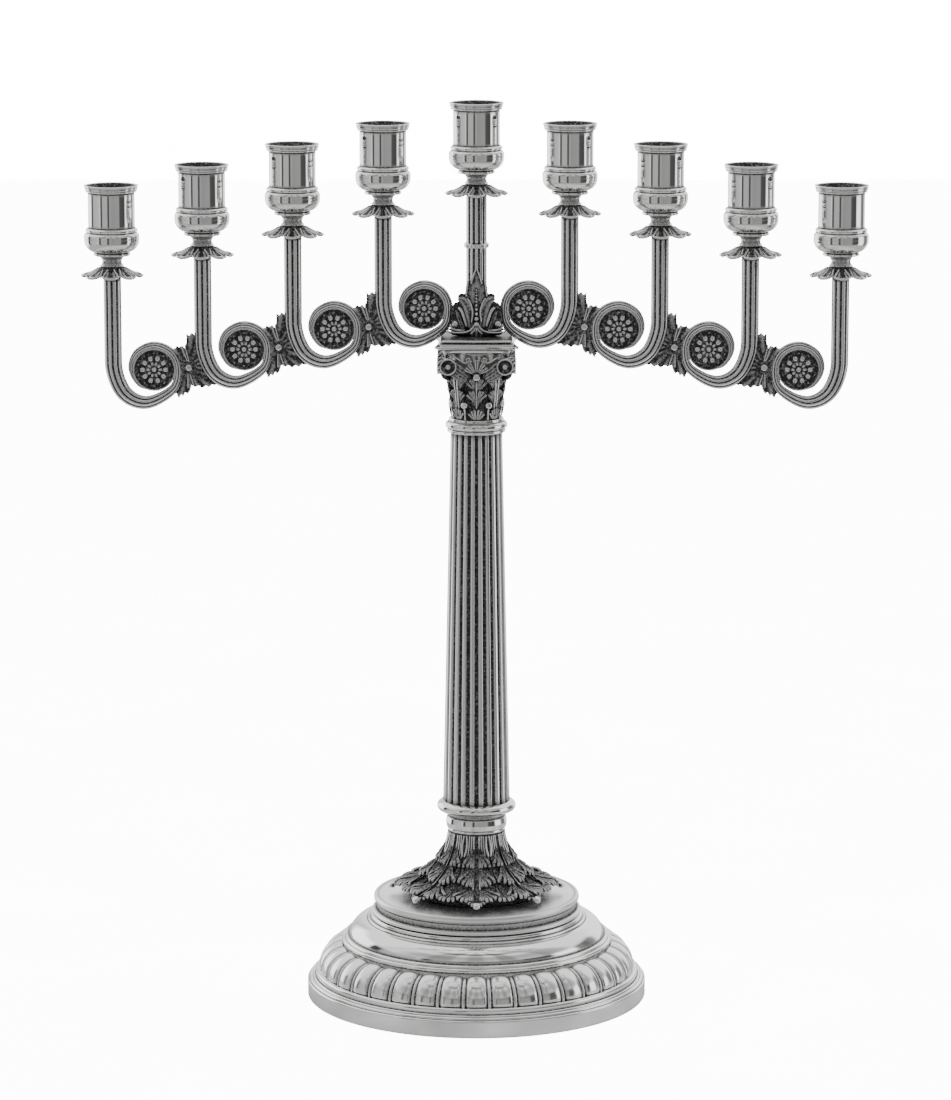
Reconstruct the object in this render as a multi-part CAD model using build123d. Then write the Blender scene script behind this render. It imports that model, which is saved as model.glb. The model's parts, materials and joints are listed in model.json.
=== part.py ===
"""Nine-light column menorah: a stepped round foot, a fluted column and a lift-off frame of scroll arms.

Millimetres, +Z up, origin at the centre of the foot's underside. The arms lie in the XZ plane and the
front faces -Y. Every piece is written to parts/ as its own STEP file.
"""
from build123d import *
from math import cos, pi, radians, sin
import os

# ---- driving dimensions -----------------------------------------------------------------------
TOTAL_HEIGHT = 470.0          # underside to the rim of the middle socket
FOOT_RADIUS = 89.0
SOCKET_STEP = 10.6            # each pair of lights stands this much lower than the pair inside it
FIRST_ARM_X = 47.9            # centre of the innermost arm's upright
ARM_PITCH = 46.45             # from one upright to the next
ARM_COUNT = 4                 # on each side

# candle sockets, heights measured down from the socket's rim
CANDLE_BORE_RADIUS = 11.3     # takes the standard 22.2 mm candle
CANDLE_BORE_DEPTH = 26.0
CUP_RADIUS = 12.0
RIM_RADIUS = 14.0
RIM_BEAD = 0.8
BULGE_RADIUS = 14.1
NECK_RADIUS = 5.3
SOCKET_FOOT_DROP = 41.5       # rim to the foot of the socket's neck
SHOULDER_DROP = 46.5          # rim to the shoulder that carries the drip pan
PAN_EDGE_DROP = 47.6
PAN_RADIUS = 16.2
PAN_THICKNESS = 1.2
PAN_LOBES = 8
PEG_RADIUS = 3.0
PEG_LENGTH = 12.0
RUNNING_FIT = 0.05            # radial clearance of each socket on its peg

# scroll arms
UPRIGHT_RADIUS = 4.55
EYE_DROP = 95.6               # rim of an arm's socket to the eye of its scroll
EYE_OFFSET = 21.0             # upright to the eye of the scroll
ROSETTE_RADIUS = 11.0
ROSETTE_THICKNESS = 2.6
ROSETTE_PETALS = 10
# centre line of a scroll about its eye: out, up, width of the tapering tube
SCROLL_STATIONS = (
    (21.0, 4.0, 9.1), (15.9, -11.7, 8.5), (4.1, -17.1, 6.9), (-9.7, -10.0, 5.1), (-12.6, 0.5, 4.4),
    (-9.0, 9.1, 4.2), (0.0, 12.8, 3.9), (8.9, 8.9, 3.5), (12.1, 0.5, 2.6), (8.0, -7.9, 1.8),
)
# outline of the leaf knot between a scroll and the next upright: inward and up from the scroll's eye
LEAF_KNOT_OUTLINE = (
    (16.4, 19.4), (22.6, 19.4), (23.0, 4.0), (33.0, -7.6), (27.5, -9.4), (20.6, -8.2), (17.2, -12.6),
    (12.6, -15.4), (9.7, -10.4), (12.6, 0.0), (9.4, 9.4), (10.2, 12.6), (14.0, 11.4),
)
LEAF_KNOT_THICKNESS = 3.6

# centre stem and plinth
STEM_RADIUS = 5.3
REED_RISE = 0.18              # how far a reed bows out beyond the stem's radius
STEM_RING_RADIUS = 6.4
STEM_RING_Z = (395.4, 397.8)
STEM_TENON_RADIUS = 3.5
STEM_TENON_LENGTH = 10.0
PLINTH_Z = (346.8, 349.6)
PLINTH_HALF = 19.0
PLINTH_FOOT = 1.0             # height of the plinth's lowest step, and of the groove above it
SPIGOT_HALF = 6.0
SPIGOT_LENGTH = 18.0
SPIGOT_FIT = 0.08
SLEEVE_WALL = 1.4
CENTRE_LEAF_TIP_Z = 382.4
CENTRE_LEAF_SCROLL = (11.0, 354.6, 2.6)    # out, up and radius of the curled side leaf

# column, from the drum's top upwards
DRUM_TOP_Z = 54.6
SKIRT_TOP_Z = 88.4
COLLAR_TOP_Z = 104.6
SHAFT_TOP_Z = 299.8
NECK_RING_TOP_Z = 307.3
ABACUS_Z = (342.2, 346.8)
SHAFT_BOTTOM_RADIUS = 17.5
SHAFT_TOP_RADIUS = 13.4
SHAFT_WALL = 2.2              # from the fillets between the flutes to the bore
FLUTES = 22
FLUTE_SHARE = 0.48            # part of the spacing that a flute takes up
FLUTE_DEPTH = 0.062           # of the shaft's radius
ROD_RADIUS = 3.0
ROD_HOLE_RADIUS = 3.3
ROD_Z = (42.6, 317.0)
NUT_HEIGHT = 4.6
NUT_ACROSS_CORNERS = 11.0
WASHER_RADIUS = 9.0
WASHER_THICKNESS = 1.5
CAPITAL_FLOOR = 3.6
CAPITAL_BORE_RADIUS = 11.2
ABACUS_HALF = 21.6
ABACUS_STEPS = ((17.2, 1.6), (19.2, 1.6), (ABACUS_HALF, 1.4))    # half width and height, upwards
VOLUTE_RADIUS = 3.9
VOLUTE_Z = 336.2

# foot
SKIRT_LEAVES = 8
GADROONS = 38
GADROON_GROOVE = 1.5          # width of the groove between two gadroons


# ---- small tools ------------------------------------------------------------------------------
def outline(*stations):
    """Closed face through (radius, height) stations; a third number bows the stretch that ends there."""
    edges = []
    for start, end in zip(stations, stations[1:] + stations[:1]):
        bow = end[2] if len(end) > 2 else 0
        straight = Line(start[:2], end[:2])
        edges.append(SagittaArc(start[:2], end[:2], bow) if bow else straight)
    return make_face(edges)


def turned(*stations):
    """Solid of revolution about +Z from an outline of (radius, height, bow) stations."""
    return revolve(Plane.XZ * outline(*stations), Axis.Z)


def rod(radius, bottom, top):
    """Upright cylinder between two heights."""
    return Pos(0, 0, bottom) * Cylinder(radius, top - bottom, align=(Align.CENTER, Align.CENTER, Align.MIN))


def square_bar(half, bottom, top):
    """Upright square bar between two heights."""
    on_its_foot = (Align.CENTER, Align.CENTER, Align.MIN)
    return Pos(0, 0, bottom) * Box(2 * half, 2 * half, top - bottom, align=on_its_foot)


def around(count, shape, start=0.0):
    """Copies of a shape, evenly spaced about +Z."""
    return [Rot(0, 0, start + 360 / count * number) * shape for number in range(count)]


def mirrored(shape):
    """The same shape on the other side of the column."""
    return mirror(shape, about=Plane.YZ)


# ---- foot -------------------------------------------------------------------------------------
def foot_rim():
    """Heavy bottom ring: an upright band below, two beads and the seat of the gadroon band above."""
    seat, inner, wall = 83.4, 80.0, 2.6
    return turned(
        (FOOT_RADIUS - wall, 0.0), (FOOT_RADIUS - 0.8, 0.0), (FOOT_RADIUS, 0.8, -0.2), (FOOT_RADIUS, 8.4),
        (FOOT_RADIUS - 0.8, 9.2, -0.2), (88.0, 9.2), (86.6, 10.6, -0.6), (86.2, 10.3), (85.2, 11.3, -0.5),
        (84.8, 11.0), (84.8, 12.8), (seat, 14.4, -0.5), (inner, 14.4),
        (inner, 11.6), (FOOT_RADIUS - wall, 6.6, -1.2),
    )


def gadroon_band():
    """Convex band of upright lobes, hollow behind, with a groove between each two lobes."""
    lower, upper, bulge, wall = (83.2, 14.4), (70.4, 28.6), 3.6, 2.4
    band = turned(
        (lower[0] - wall, lower[1]), lower, (*upper, -bulge),
        (upper[0], upper[1] - wall), (lower[0] - wall - 1.2, lower[1] + 1.0, 3.0),
    )
    crown = Plane.XZ * SagittaArc(lower, upper, -bulge)
    groove = Pos(crown.arc_center) * Rot(90, 0, 0) * Torus(crown.radius, GADROON_GROOVE / 2)
    return band - around(GADROONS, groove, 180 / GADROONS - 90)


def base_dome():
    """Ogee shell from the drum down to two beads that close on the gadroon band."""
    return turned(
        (66.0, 26.2), (70.3, 26.2), (70.3, 29.2), (70.9, 30.2, -0.2), (69.6, 31.4, -0.5), (69.2, 31.2),
        (68.4, 32.8, -0.5), (67.2, 32.8), (66.6, 34.6), (57.2, 41.0, -1.7), (56.8, 42.0, -0.3), (55.6, 42.2),
        (55.6, 44.2, -0.3), (50.0, 44.8), (50.0, 42.8), (53.6, 41.0), (64.0, 33.0, 1.7), (66.0, 29.0),
    )


def drum_plate():
    """Round box that carries the column: flat top, beaded lip and a short wall, open below."""
    wall, plate = 1.8, 2.0
    inner = 52.6 - wall
    return turned(
        (ROD_HOLE_RADIUS, DRUM_TOP_Z - plate), (inner, DRUM_TOP_Z - plate), (inner, 44.8), (54.4, 44.8),
        (54.4, 46.6, -0.5), (52.6, 47.2), (52.6, 50.2), (53.6, 51.4), (53.2, DRUM_TOP_Z, -0.6),
        (ROD_HOLE_RADIUS, DRUM_TOP_Z),
    )


def acanthus_skirt():
    """Flaring skirt of eight leaves between the drum and the collar, with a notch beside each leaf."""
    bell = turned(
        (ROD_HOLE_RADIUS, DRUM_TOP_Z), (44.0, DRUM_TOP_Z), (48.2, 57.6, -0.8), (46.0, 60.4, -0.6),
        (15.2, SKIRT_TOP_Z, 7.2), (ROD_HOLE_RADIUS, SKIRT_TOP_Z),
    )
    hollow = turned(
        (ROD_HOLE_RADIUS, DRUM_TOP_Z), (38.0, DRUM_TOP_Z), (12.6, SKIRT_TOP_Z - 4.0, 6.6),
        (ROD_HOLE_RADIUS, SKIRT_TOP_Z - 4.0),
    )
    notch_root, notch_mouth, notch_half, notch_height = 34.0, 51.0, 4.4, 74.6
    wedge = Polyline((notch_root, 0), (notch_mouth, -notch_half), (notch_mouth, notch_half), close=True)
    notch = extrude(make_face(wedge), notch_height)
    return bell - hollow - around(2 * SKIRT_LEAVES, Pos(0, 0, DRUM_TOP_Z) * notch, 90 / SKIRT_LEAVES)


# ---- column -----------------------------------------------------------------------------------
def column_foot_collar():
    """Double collar under the shaft: thin ring, band, hollow and a large torus."""
    return turned(
        (ROD_HOLE_RADIUS, SKIRT_TOP_Z), (14.6, SKIRT_TOP_Z), (14.6, 90.2, -0.5), (15.6, 90.4), (16.0, 93.0),
        (15.6, 95.8), (14.8, 96.2), (17.6, 99.0, 0.9), (19.0, 99.2), (19.0, COLLAR_TOP_Z - 0.6, -1.6),
        (17.8, COLLAR_TOP_Z), (ROD_HOLE_RADIUS, COLLAR_TOP_Z),
    )


def flute_section(radius):
    """Round shaft section with evenly spaced flutes and a narrow fillet between them."""
    half_flute = radians(360 / FLUTES * FLUTE_SHARE / 2)
    depth = radius * FLUTE_DEPTH
    edges = []
    for number in range(FLUTES):
        middle = radians(360 / FLUTES * number - 90)
        corners = [middle - half_flute, middle + half_flute, middle + 2 * pi / FLUTES - half_flute]
        start, end, following = [(radius * cos(angle), radius * sin(angle)) for angle in corners]
        bottom = ((radius - depth) * cos(middle), (radius - depth) * sin(middle))
        edges.append(ThreePointArc(start, bottom, end))
        edges.append(Line(end, following))
    return make_face(edges)


def column_shaft():
    """Tapering fluted tube."""
    bottom = Pos(0, 0, COLLAR_TOP_Z) * flute_section(SHAFT_BOTTOM_RADIUS)
    top = Pos(0, 0, SHAFT_TOP_Z) * flute_section(SHAFT_TOP_RADIUS)
    bore = Cone(SHAFT_BOTTOM_RADIUS - SHAFT_WALL, SHAFT_TOP_RADIUS - SHAFT_WALL, SHAFT_TOP_Z - COLLAR_TOP_Z)
    return loft([bottom, top], ruled=True) - Pos(0, 0, (COLLAR_TOP_Z + SHAFT_TOP_Z) / 2) * bore


def column_neck_ring():
    """Moulded ring between the shaft and the capital."""
    return turned(
        (ROD_HOLE_RADIUS, SHAFT_TOP_Z), (14.6, SHAFT_TOP_Z), (14.6, 301.6, -0.6), (15.2, 302.0),
        (15.2, 305.2, -0.9), (14.4, 305.6), (14.0, NECK_RING_TOP_Z), (ROD_HOLE_RADIUS, NECK_RING_TOP_Z),
    )


def capital_bell():
    """Bell of the capital, open above, with two tiers of leaves standing proud of it."""
    bottom, top = NECK_RING_TOP_Z, ABACUS_Z[0]
    floor = bottom + CAPITAL_FLOOR
    bell = turned(
        (ROD_HOLE_RADIUS, bottom), (12.8, bottom), (13.2, 326.0, 0.4), (16.6, top, 1.4),
        (CAPITAL_BORE_RADIUS, top), (CAPITAL_BORE_RADIUS, floor), (ROD_HOLE_RADIUS, floor),
    )
    leaf_outline = Spline((0, 15.6), (-2.4, 14.0), (-4.2, 8.0), (-4.6, 0.0)) + Line((-4.6, 0), (4.6, 0))
    leaf_outline += Spline((4.6, 0.0), (4.2, 8.0), (2.4, 14.0), (0, 15.6))
    leaf = extrude(Plane.XZ * make_face(leaf_outline), -1.6)
    lower = around(SKIRT_LEAVES, Pos(0, 13.0, bottom) * leaf)
    upper = around(SKIRT_LEAVES, Pos(0, 13.0, bottom + 10.4) * leaf, 180 / SKIRT_LEAVES)
    return bell + lower + upper


def capital_volutes():
    """Two rolled volutes at each corner of the capital, one on each face."""
    corner_out, width = ABACUS_HALF - 5.4, 3.0
    top = ABACUS_Z[0]
    roll = Cylinder(VOLUTE_RADIUS, width, rotation=(90, 0, 0))
    face_out = corner_out + VOLUTE_RADIUS - 0.6
    front = Pos(corner_out - 1.6, -face_out, VOLUTE_Z) * roll
    side = Rot(0, 0, 90) * mirrored(Pos(corner_out - 1.6, -face_out, VOLUTE_Z) * roll)
    block = Pos(corner_out, -corner_out, VOLUTE_Z) * Box(5.6, 5.6, 2 * (top - VOLUTE_Z))
    return (front + side + block) - capital_bell()


def abacus():
    """Square cap of the capital with hollowed sides and a stepped edge."""
    def plate(half, bottom, top):
        hollow = half * 0.09
        corner = half * 0.16
        side = SagittaArc((corner - half, -half), (half - corner, -half), hollow)
        bevel = Line((half - corner, -half), (half, corner - half))
        sides = around(4, side) + around(4, bevel)
        return Pos(0, 0, bottom) * extrude(make_face(sides), top - bottom)
    bottom = ABACUS_Z[0]
    cap = []
    for half, height in ABACUS_STEPS:
        cap.append(plate(half, bottom, bottom + height))
        bottom += height
    sleeve_half = SPIGOT_HALF + SPIGOT_FIT + SLEEVE_WALL
    return cap[0] + cap[1:] - square_bar(sleeve_half, *ABACUS_Z)


def capital_sleeve():
    """Square socket inside the capital that receives the arm frame's spigot."""
    inner = SPIGOT_HALF + SPIGOT_FIT
    bottom = ABACUS_Z[1] - SPIGOT_LENGTH - 1.0
    return square_bar(inner + SLEEVE_WALL, bottom, ABACUS_Z[1]) - square_bar(inner, bottom, ABACUS_Z[1])


# ---- fastening inside the column --------------------------------------------------------------
def tie_rod():
    """Rod that clamps foot, column and capital together."""
    return rod(ROD_RADIUS, *ROD_Z)


def tie_nut(bottom):
    """Hexagon nut on the tie rod."""
    blank = extrude(RegularPolygon(NUT_ACROSS_CORNERS / 2, 6), NUT_HEIGHT)
    return Pos(0, 0, bottom) * blank - rod(ROD_RADIUS, bottom, bottom + NUT_HEIGHT)


def tie_washer():
    """Flat washer under the drum plate."""
    top = DRUM_TOP_Z - 2.0
    return rod(WASHER_RADIUS, top - WASHER_THICKNESS, top) - rod(ROD_RADIUS, top - WASHER_THICKNESS, top)


# ---- arm frame --------------------------------------------------------------------------------
def plinth_block():
    """Stepped square block that sits on the abacus and carries the stem and the innermost arms."""
    bottom, top = PLINTH_Z
    lower = square_bar(PLINTH_HALF, bottom, bottom + PLINTH_FOOT)
    middle = square_bar(PLINTH_HALF - 1.6, bottom + PLINTH_FOOT, bottom + 2 * PLINTH_FOOT)
    upper = square_bar(PLINTH_HALF - 0.6, bottom + 2 * PLINTH_FOOT, top)
    return lower + middle + upper


def plinth_spigot():
    """Square spigot under the plinth block."""
    return square_bar(SPIGOT_HALF, PLINTH_Z[0] - SPIGOT_LENGTH, PLINTH_Z[0])


def reeded_rod(radius, bottom, top, reeds=12):
    """Upright rod with rounded reeds all round."""
    corners = [(radius * cos(2 * pi * reed / reeds), radius * sin(2 * pi * reed / reeds))
               for reed in range(reeds)]
    chord_rise = radius * (1 - cos(pi / reeds))
    arcs = [SagittaArc(start, end, -chord_rise - REED_RISE)
            for start, end in zip(corners, corners[1:] + corners[:1])]
    return Pos(0, 0, bottom) * extrude(make_face(arcs), top - bottom)


def lower_stem():
    """Middle stem from the plinth to the parting ring, with the socket for the upper stem's tenon."""
    top = STEM_RING_Z[0]
    tenon_hole = rod(STEM_TENON_RADIUS + RUNNING_FIT, top - STEM_TENON_LENGTH - 1.0, top)
    return reeded_rod(STEM_RADIUS, PLINTH_Z[1], top) - tenon_hole


def stem_ring():
    """Ring that finishes the lower stem."""
    bottom, top = STEM_RING_Z
    return turned(
        (STEM_TENON_RADIUS + RUNNING_FIT, bottom), (5.6, bottom), (STEM_RING_RADIUS, bottom + 1.2, -0.5),
        (5.6, top, -0.5), (STEM_TENON_RADIUS + RUNNING_FIT, top),
    )


def shamash_stem():
    """Upper middle stem with a tenon below and a peg above."""
    shoulder = TOTAL_HEIGHT - SHOULDER_DROP
    tenon = rod(STEM_TENON_RADIUS, STEM_RING_Z[1] - STEM_TENON_LENGTH, STEM_RING_Z[1])
    peg = rod(PEG_RADIUS, shoulder, shoulder + PEG_LENGTH)
    return reeded_rod(STEM_RADIUS, STEM_RING_Z[1], shoulder) + tenon + peg


def centre_leaves():
    """Pointed acanthus leaf on the front and back of the stem, with a curled leaf at each side."""
    bottom, tip = PLINTH_Z[1], CENTRE_LEAF_TIP_Z
    half_blade = [(0, tip), (2.4, 378.0), (4.2, 374.6), (4.6, 367.0), (6.6, 361.0), (3.0, bottom)]
    blade_face = make_face(Polyline(half_blade + [(-x, z) for x, z in reversed(half_blade[1:])], close=True))
    blade = extrude(Plane.XZ * blade_face, 1.8)
    front = Pos(0, -STEM_RADIUS + 0.6, 0) * blade
    back = Rot(0, 0, 180) * front
    out, up, radius = CENTRE_LEAF_SCROLL
    half_side = [(4.0, bottom), (4.0, 362.0), (8.6, 367.4), (10.0, 365.0), (8.4, 359.0), (10.0, 355.0),
                 (13.4, 352.6), (15.0, bottom)]
    side = extrude(Plane.XZ * make_face(Polyline(half_side, close=True)), 2.5, both=True)
    ball = Pos(out, 0, up) * Sphere(radius)
    sides = side + ball + mirrored(side + ball)
    core = rod(STEM_RADIUS + REED_RISE, bottom, tip)
    return (front + back + sides) - core


def shoulder_z(number):
    """Height of the shoulder of the arm with this number, 1 innermost."""
    return TOTAL_HEIGHT - SOCKET_STEP * number - SHOULDER_DROP


def upright_x(number):
    """Distance of the upright of the arm with this number from the column's axis."""
    return FIRST_ARM_X + ARM_PITCH * (number - 1)


def eye(number):
    """Centre of the scroll of the right arm with this number."""
    return Pos(upright_x(number) - EYE_OFFSET, 0, TOTAL_HEIGHT - SOCKET_STEP * number - EYE_DROP)


def scroll():
    """Tapering tube of one scroll about its eye."""
    stations = [(out, up) for out, up, _ in SCROLL_STATIONS]
    centre_line = Plane.XZ * Spline(stations, tangents=[(0, -1), (-0.7, -0.7)])
    sections = []
    for out, up, width in SCROLL_STATIONS:
        place = centre_line.param_at_point(Vector(out, 0, up))
        across = Plane(centre_line @ place, x_dir=(0, 1, 0), z_dir=centre_line % place)
        sections.append(across * Circle(width / 2))
    return loft(sections)


def rosette_seat():
    """Room that the rosette takes out of the scroll around it."""
    return Rot(90, 0, 0) * Cylinder(ROSETTE_RADIUS, ROSETTE_THICKNESS)


def arm(number):
    """Right arm: scroll, upright and the peg for its socket."""
    shoulder = shoulder_z(number)
    bend = TOTAL_HEIGHT - SOCKET_STEP * number - EYE_DROP + SCROLL_STATIONS[0][1]
    upright = rod(UPRIGHT_RADIUS, bend, shoulder) + rod(PEG_RADIUS, shoulder, shoulder + PEG_LENGTH)
    return Pos(upright_x(number), 0, 0) * upright + eye(number) * (scroll() - rosette_seat())


def rosette():
    """Dished disc in the eye of a scroll, with two rings of petals and a boss on each face."""
    half = ROSETTE_THICKNESS / 2
    web = 0.5
    disc = turned((0, -web), (ROSETTE_RADIUS - 1.4, -half + 0.2, 0.3), (ROSETTE_RADIUS - 0.8, -half),
                  (ROSETTE_RADIUS, -half), (ROSETTE_RADIUS, half), (ROSETTE_RADIUS - 0.8, half),
                  (ROSETTE_RADIUS - 1.4, half - 0.2), (0, web, 0.3))
    outer_petals = around(ROSETTE_PETALS, Pos(6.0, 0, 0) * Sphere(1.25))
    inner_petals = around(ROSETTE_PETALS, Pos(3.0, 0, 0) * Sphere(0.9))
    boss = Sphere(1.4)
    return Rot(90, 0, 0) * (disc + outer_petals + inner_petals + boss)


def leaf_knot(number):
    """Flat leaf knot that ties the scroll of a right arm to the upright inside it."""
    face = make_face(Polyline([(-inward, up) for inward, up in LEAF_KNOT_OUTLINE], close=True))
    plate = extrude(Plane.XZ * face, LEAF_KNOT_THICKNESS / 2, both=True)
    return eye(number) * (plate - rosette_seat()) - arm(number) - arm(number - 1)


# ---- sockets ----------------------------------------------------------------------------------
def socket(top):
    """Urn-shaped candle socket with its rim at the given height."""
    foot = -SOCKET_FOOT_DROP
    peg_hole = PEG_RADIUS + RUNNING_FIT
    peg_top = -SHOULDER_DROP + PEG_LENGTH + 1.0
    rim = RIM_RADIUS - RIM_BEAD
    return Pos(0, 0, top) * turned(
        (peg_hole, foot), (6.4, foot), (NECK_RADIUS, -38.4, 0.8), (7.4, -36.6, 0.5), (8.8, -36.4),
        (8.8, -34.8, -0.7), (9.4, -34.4), (BULGE_RADIUS, -27.4, -1.6), (12.6, -24.2, -0.7),
        (12.6, -22.2, -0.8), (CUP_RADIUS, -21.8), (CUP_RADIUS, -3.4), (rim, -2.8, 0.3), (rim, 0.0, -RIM_BEAD),
        (CANDLE_BORE_RADIUS, 0.0), (CANDLE_BORE_RADIUS, -CANDLE_BORE_DEPTH), (0, -CANDLE_BORE_DEPTH),
        (0, peg_top), (peg_hole, peg_top),
    )


def drip_pan(top):
    """Lobed leaf pan under a socket, with a hub that rests on the stem's shoulder."""
    shell = turned(
        (PEG_RADIUS + RUNNING_FIT, -SHOULDER_DROP), (5.2, -SHOULDER_DROP), (5.6, -43.6),
        (PAN_RADIUS, PAN_THICKNESS - PAN_EDGE_DROP - 1.2, 0.9), (PAN_RADIUS, PAN_THICKNESS - PAN_EDGE_DROP),
        (6.6, -SOCKET_FOOT_DROP, -0.9), (PEG_RADIUS + RUNNING_FIT, -SOCKET_FOOT_DROP),
    )
    lobe_radius = PAN_RADIUS * sin(pi / PAN_LOBES) * 1.12
    lobe = Pos(PAN_RADIUS - lobe_radius, 0) * Circle(lobe_radius)
    outline_face = Circle(PAN_RADIUS - lobe_radius) + around(PAN_LOBES, lobe)
    blank = Pos(0, 0, -PAN_EDGE_DROP - 1) * extrude(outline_face, PAN_EDGE_DROP)
    return Pos(0, 0, top) * (shell & blank)


# ---- assembly ---------------------------------------------------------------------------------
def build_parts():
    """Every piece by name."""
    drum_underside = DRUM_TOP_Z - 2.0 - WASHER_THICKNESS
    parts = {
        "foot_rim": foot_rim(), "gadroon_band": gadroon_band(), "base_dome": base_dome(),
        "drum_plate": drum_plate(), "acanthus_skirt": acanthus_skirt(),
        "column_foot_collar": column_foot_collar(), "column_shaft": column_shaft(),
        "column_neck_ring": column_neck_ring(), "capital_bell": capital_bell(),
        "capital_volutes": Compound(children=around(4, capital_volutes())), "abacus": abacus(),
        "capital_sleeve": capital_sleeve(), "tie_rod": tie_rod(),
        "tie_nut_lower": tie_nut(drum_underside - NUT_HEIGHT),
        "tie_nut_upper": tie_nut(NECK_RING_TOP_Z + CAPITAL_FLOOR), "tie_washer": tie_washer(),
        "plinth_spigot": plinth_spigot(), "lower_stem": lower_stem(), "stem_ring": stem_ring(),
        "shamash_stem": shamash_stem(), "shamash_socket": socket(TOTAL_HEIGHT),
        "shamash_drip_pan": drip_pan(TOTAL_HEIGHT),
    }
    innermost = arm(1)
    parts["plinth_block"] = plinth_block() - innermost - mirrored(innermost)
    parts["centre_leaves"] = centre_leaves() - innermost - mirrored(innermost)
    rosettes = []
    for number in range(1, ARM_COUNT + 1):
        top = TOTAL_HEIGHT - SOCKET_STEP * number
        place = Pos(upright_x(number), 0, 0)
        pieces = {"arm": arm(number), "socket": place * socket(top), "drip_pan": place * drip_pan(top)}
        if number > 1:
            pieces["leaf_knot"] = leaf_knot(number)
        for name, piece in pieces.items():
            parts[f"{name}_right_{number}"] = piece
            parts[f"{name}_left_{number}"] = mirrored(piece)
        rosettes.append(eye(number) * rosette())
    parts["rosettes_right"] = Compound(children=rosettes)
    parts["rosettes_left"] = mirrored(parts["rosettes_right"])
    return parts


if __name__ == "__main__":
    os.makedirs("parts", exist_ok=True)
    for name, piece in build_parts().items():
        export_step(piece, f"parts/{name}.step")
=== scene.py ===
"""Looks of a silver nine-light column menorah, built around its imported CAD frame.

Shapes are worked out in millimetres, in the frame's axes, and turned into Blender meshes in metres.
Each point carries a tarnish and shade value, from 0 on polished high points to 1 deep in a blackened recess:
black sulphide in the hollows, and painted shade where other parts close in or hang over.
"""
import bmesh
import bpy
import json
import math
import numpy as np
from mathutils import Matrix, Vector
from mathutils.bvhtree import BVHTree


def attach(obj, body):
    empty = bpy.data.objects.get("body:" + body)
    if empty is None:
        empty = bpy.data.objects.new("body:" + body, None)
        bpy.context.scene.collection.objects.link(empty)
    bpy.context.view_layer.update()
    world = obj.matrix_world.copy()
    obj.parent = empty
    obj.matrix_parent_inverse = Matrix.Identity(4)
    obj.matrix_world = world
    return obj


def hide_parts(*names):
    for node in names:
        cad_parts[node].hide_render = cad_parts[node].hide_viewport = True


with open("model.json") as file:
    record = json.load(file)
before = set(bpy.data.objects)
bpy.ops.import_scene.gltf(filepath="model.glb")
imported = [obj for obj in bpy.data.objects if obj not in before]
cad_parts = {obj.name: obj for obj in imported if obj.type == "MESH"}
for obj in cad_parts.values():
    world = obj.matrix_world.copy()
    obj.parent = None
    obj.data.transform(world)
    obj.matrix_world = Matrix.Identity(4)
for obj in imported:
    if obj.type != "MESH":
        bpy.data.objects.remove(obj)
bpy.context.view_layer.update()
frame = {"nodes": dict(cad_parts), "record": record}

MM = 0.001
TURN_STEPS = 192              # facets round a turned piece
SIDES = {"left": -1, "right": 1}
ARM_NUMBERS = (1, 2, 3, 4)


# ---- shapes: points, four-sided faces, tarnish and painted shade ------------------------------
class Shape:
    """A bag of points in millimetres with the quads between them and a tarnish and painted-shade value at each
    point.
    """

    def __init__(self, points, quads, tarnish):
        self.points = np.asarray(points, float)
        self.quads = np.asarray(quads, int)
        self.tarnish = np.broadcast_to(np.asarray(tarnish, float), len(self.points)).copy()

    def moved(self, x=0.0, y=0.0, z=0.0):
        return Shape(self.points + (x, y, z), self.quads, self.tarnish)

    def turned(self, degrees, axis=2):
        """The shape turned about Z, or about X where the axis is 0."""
        angle = math.radians(degrees)
        first, second = [n for n in range(3) if n != axis]
        points = self.points.copy()
        a, b = self.points[:, first], self.points[:, second]
        points[:, first] = a * math.cos(angle) - b * math.sin(angle)
        points[:, second] = a * math.sin(angle) + b * math.cos(angle)
        return Shape(points, self.quads, self.tarnish)

    def mirrored(self, axis=0):
        points = self.points.copy()
        points[:, axis] *= -1
        return Shape(points, self.quads[:, ::-1], self.tarnish)

    def outward(self):
        """The same closed shape with its faces turned outward."""
        corner = self.points[self.quads]
        volume = np.einsum("ij,ij->i", corner[:, 0], np.cross(corner[:, 1], corner[:, 2])).sum()
        volume += np.einsum("ij,ij->i", corner[:, 0], np.cross(corner[:, 2], corner[:, 3])).sum()
        return self if volume > 0 else Shape(self.points, self.quads[:, ::-1], self.tarnish)


def join(shapes):
    offset, points, quads, tarnish = 0, [], [], []
    for shape in shapes:
        points.append(shape.points)
        quads.append(shape.quads + offset)
        tarnish.append(shape.tarnish)
        offset += len(shape.points)
    return Shape(np.vstack(points), np.vstack(quads), np.concatenate(tarnish))


def around(count, shape):
    return join([shape.turned(360 / count * number) for number in range(count)])


def grid(points, tarnish, loop_u=False, loop_v=False):
    """Quads over a table of points; either direction may close on itself."""
    rows, columns = points.shape[:2]
    index = np.arange(rows * columns).reshape(rows, columns)
    if loop_u:
        index = np.vstack([index, index[:1]])
    if loop_v:
        index = np.hstack([index, index[:, :1]])
    quads = np.stack([index[:-1, :-1], index[1:, :-1], index[1:, 1:], index[:-1, 1:]], -1)
    tarnish = np.broadcast_to(tarnish, (rows, columns)).reshape(-1)
    return Shape(points.reshape(-1, 3), quads.reshape(-1, 4), tarnish)


def full_turn(count):
    """Evenly spaced angles once round."""
    return np.arange(count) / count * 2 * math.pi


def round_points(radius, angle, height):
    """Points at a radius, angle and height about the Z axis."""
    x, y = radius * np.cos(angle), radius * np.sin(angle)
    return np.stack([x, y, np.broadcast_to(height, x.shape)], -1)


def ease(value):
    """Smooth step from 0 to 1."""
    value = np.clip(value, 0, 1)
    return value * value * (3 - 2 * value)


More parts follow.
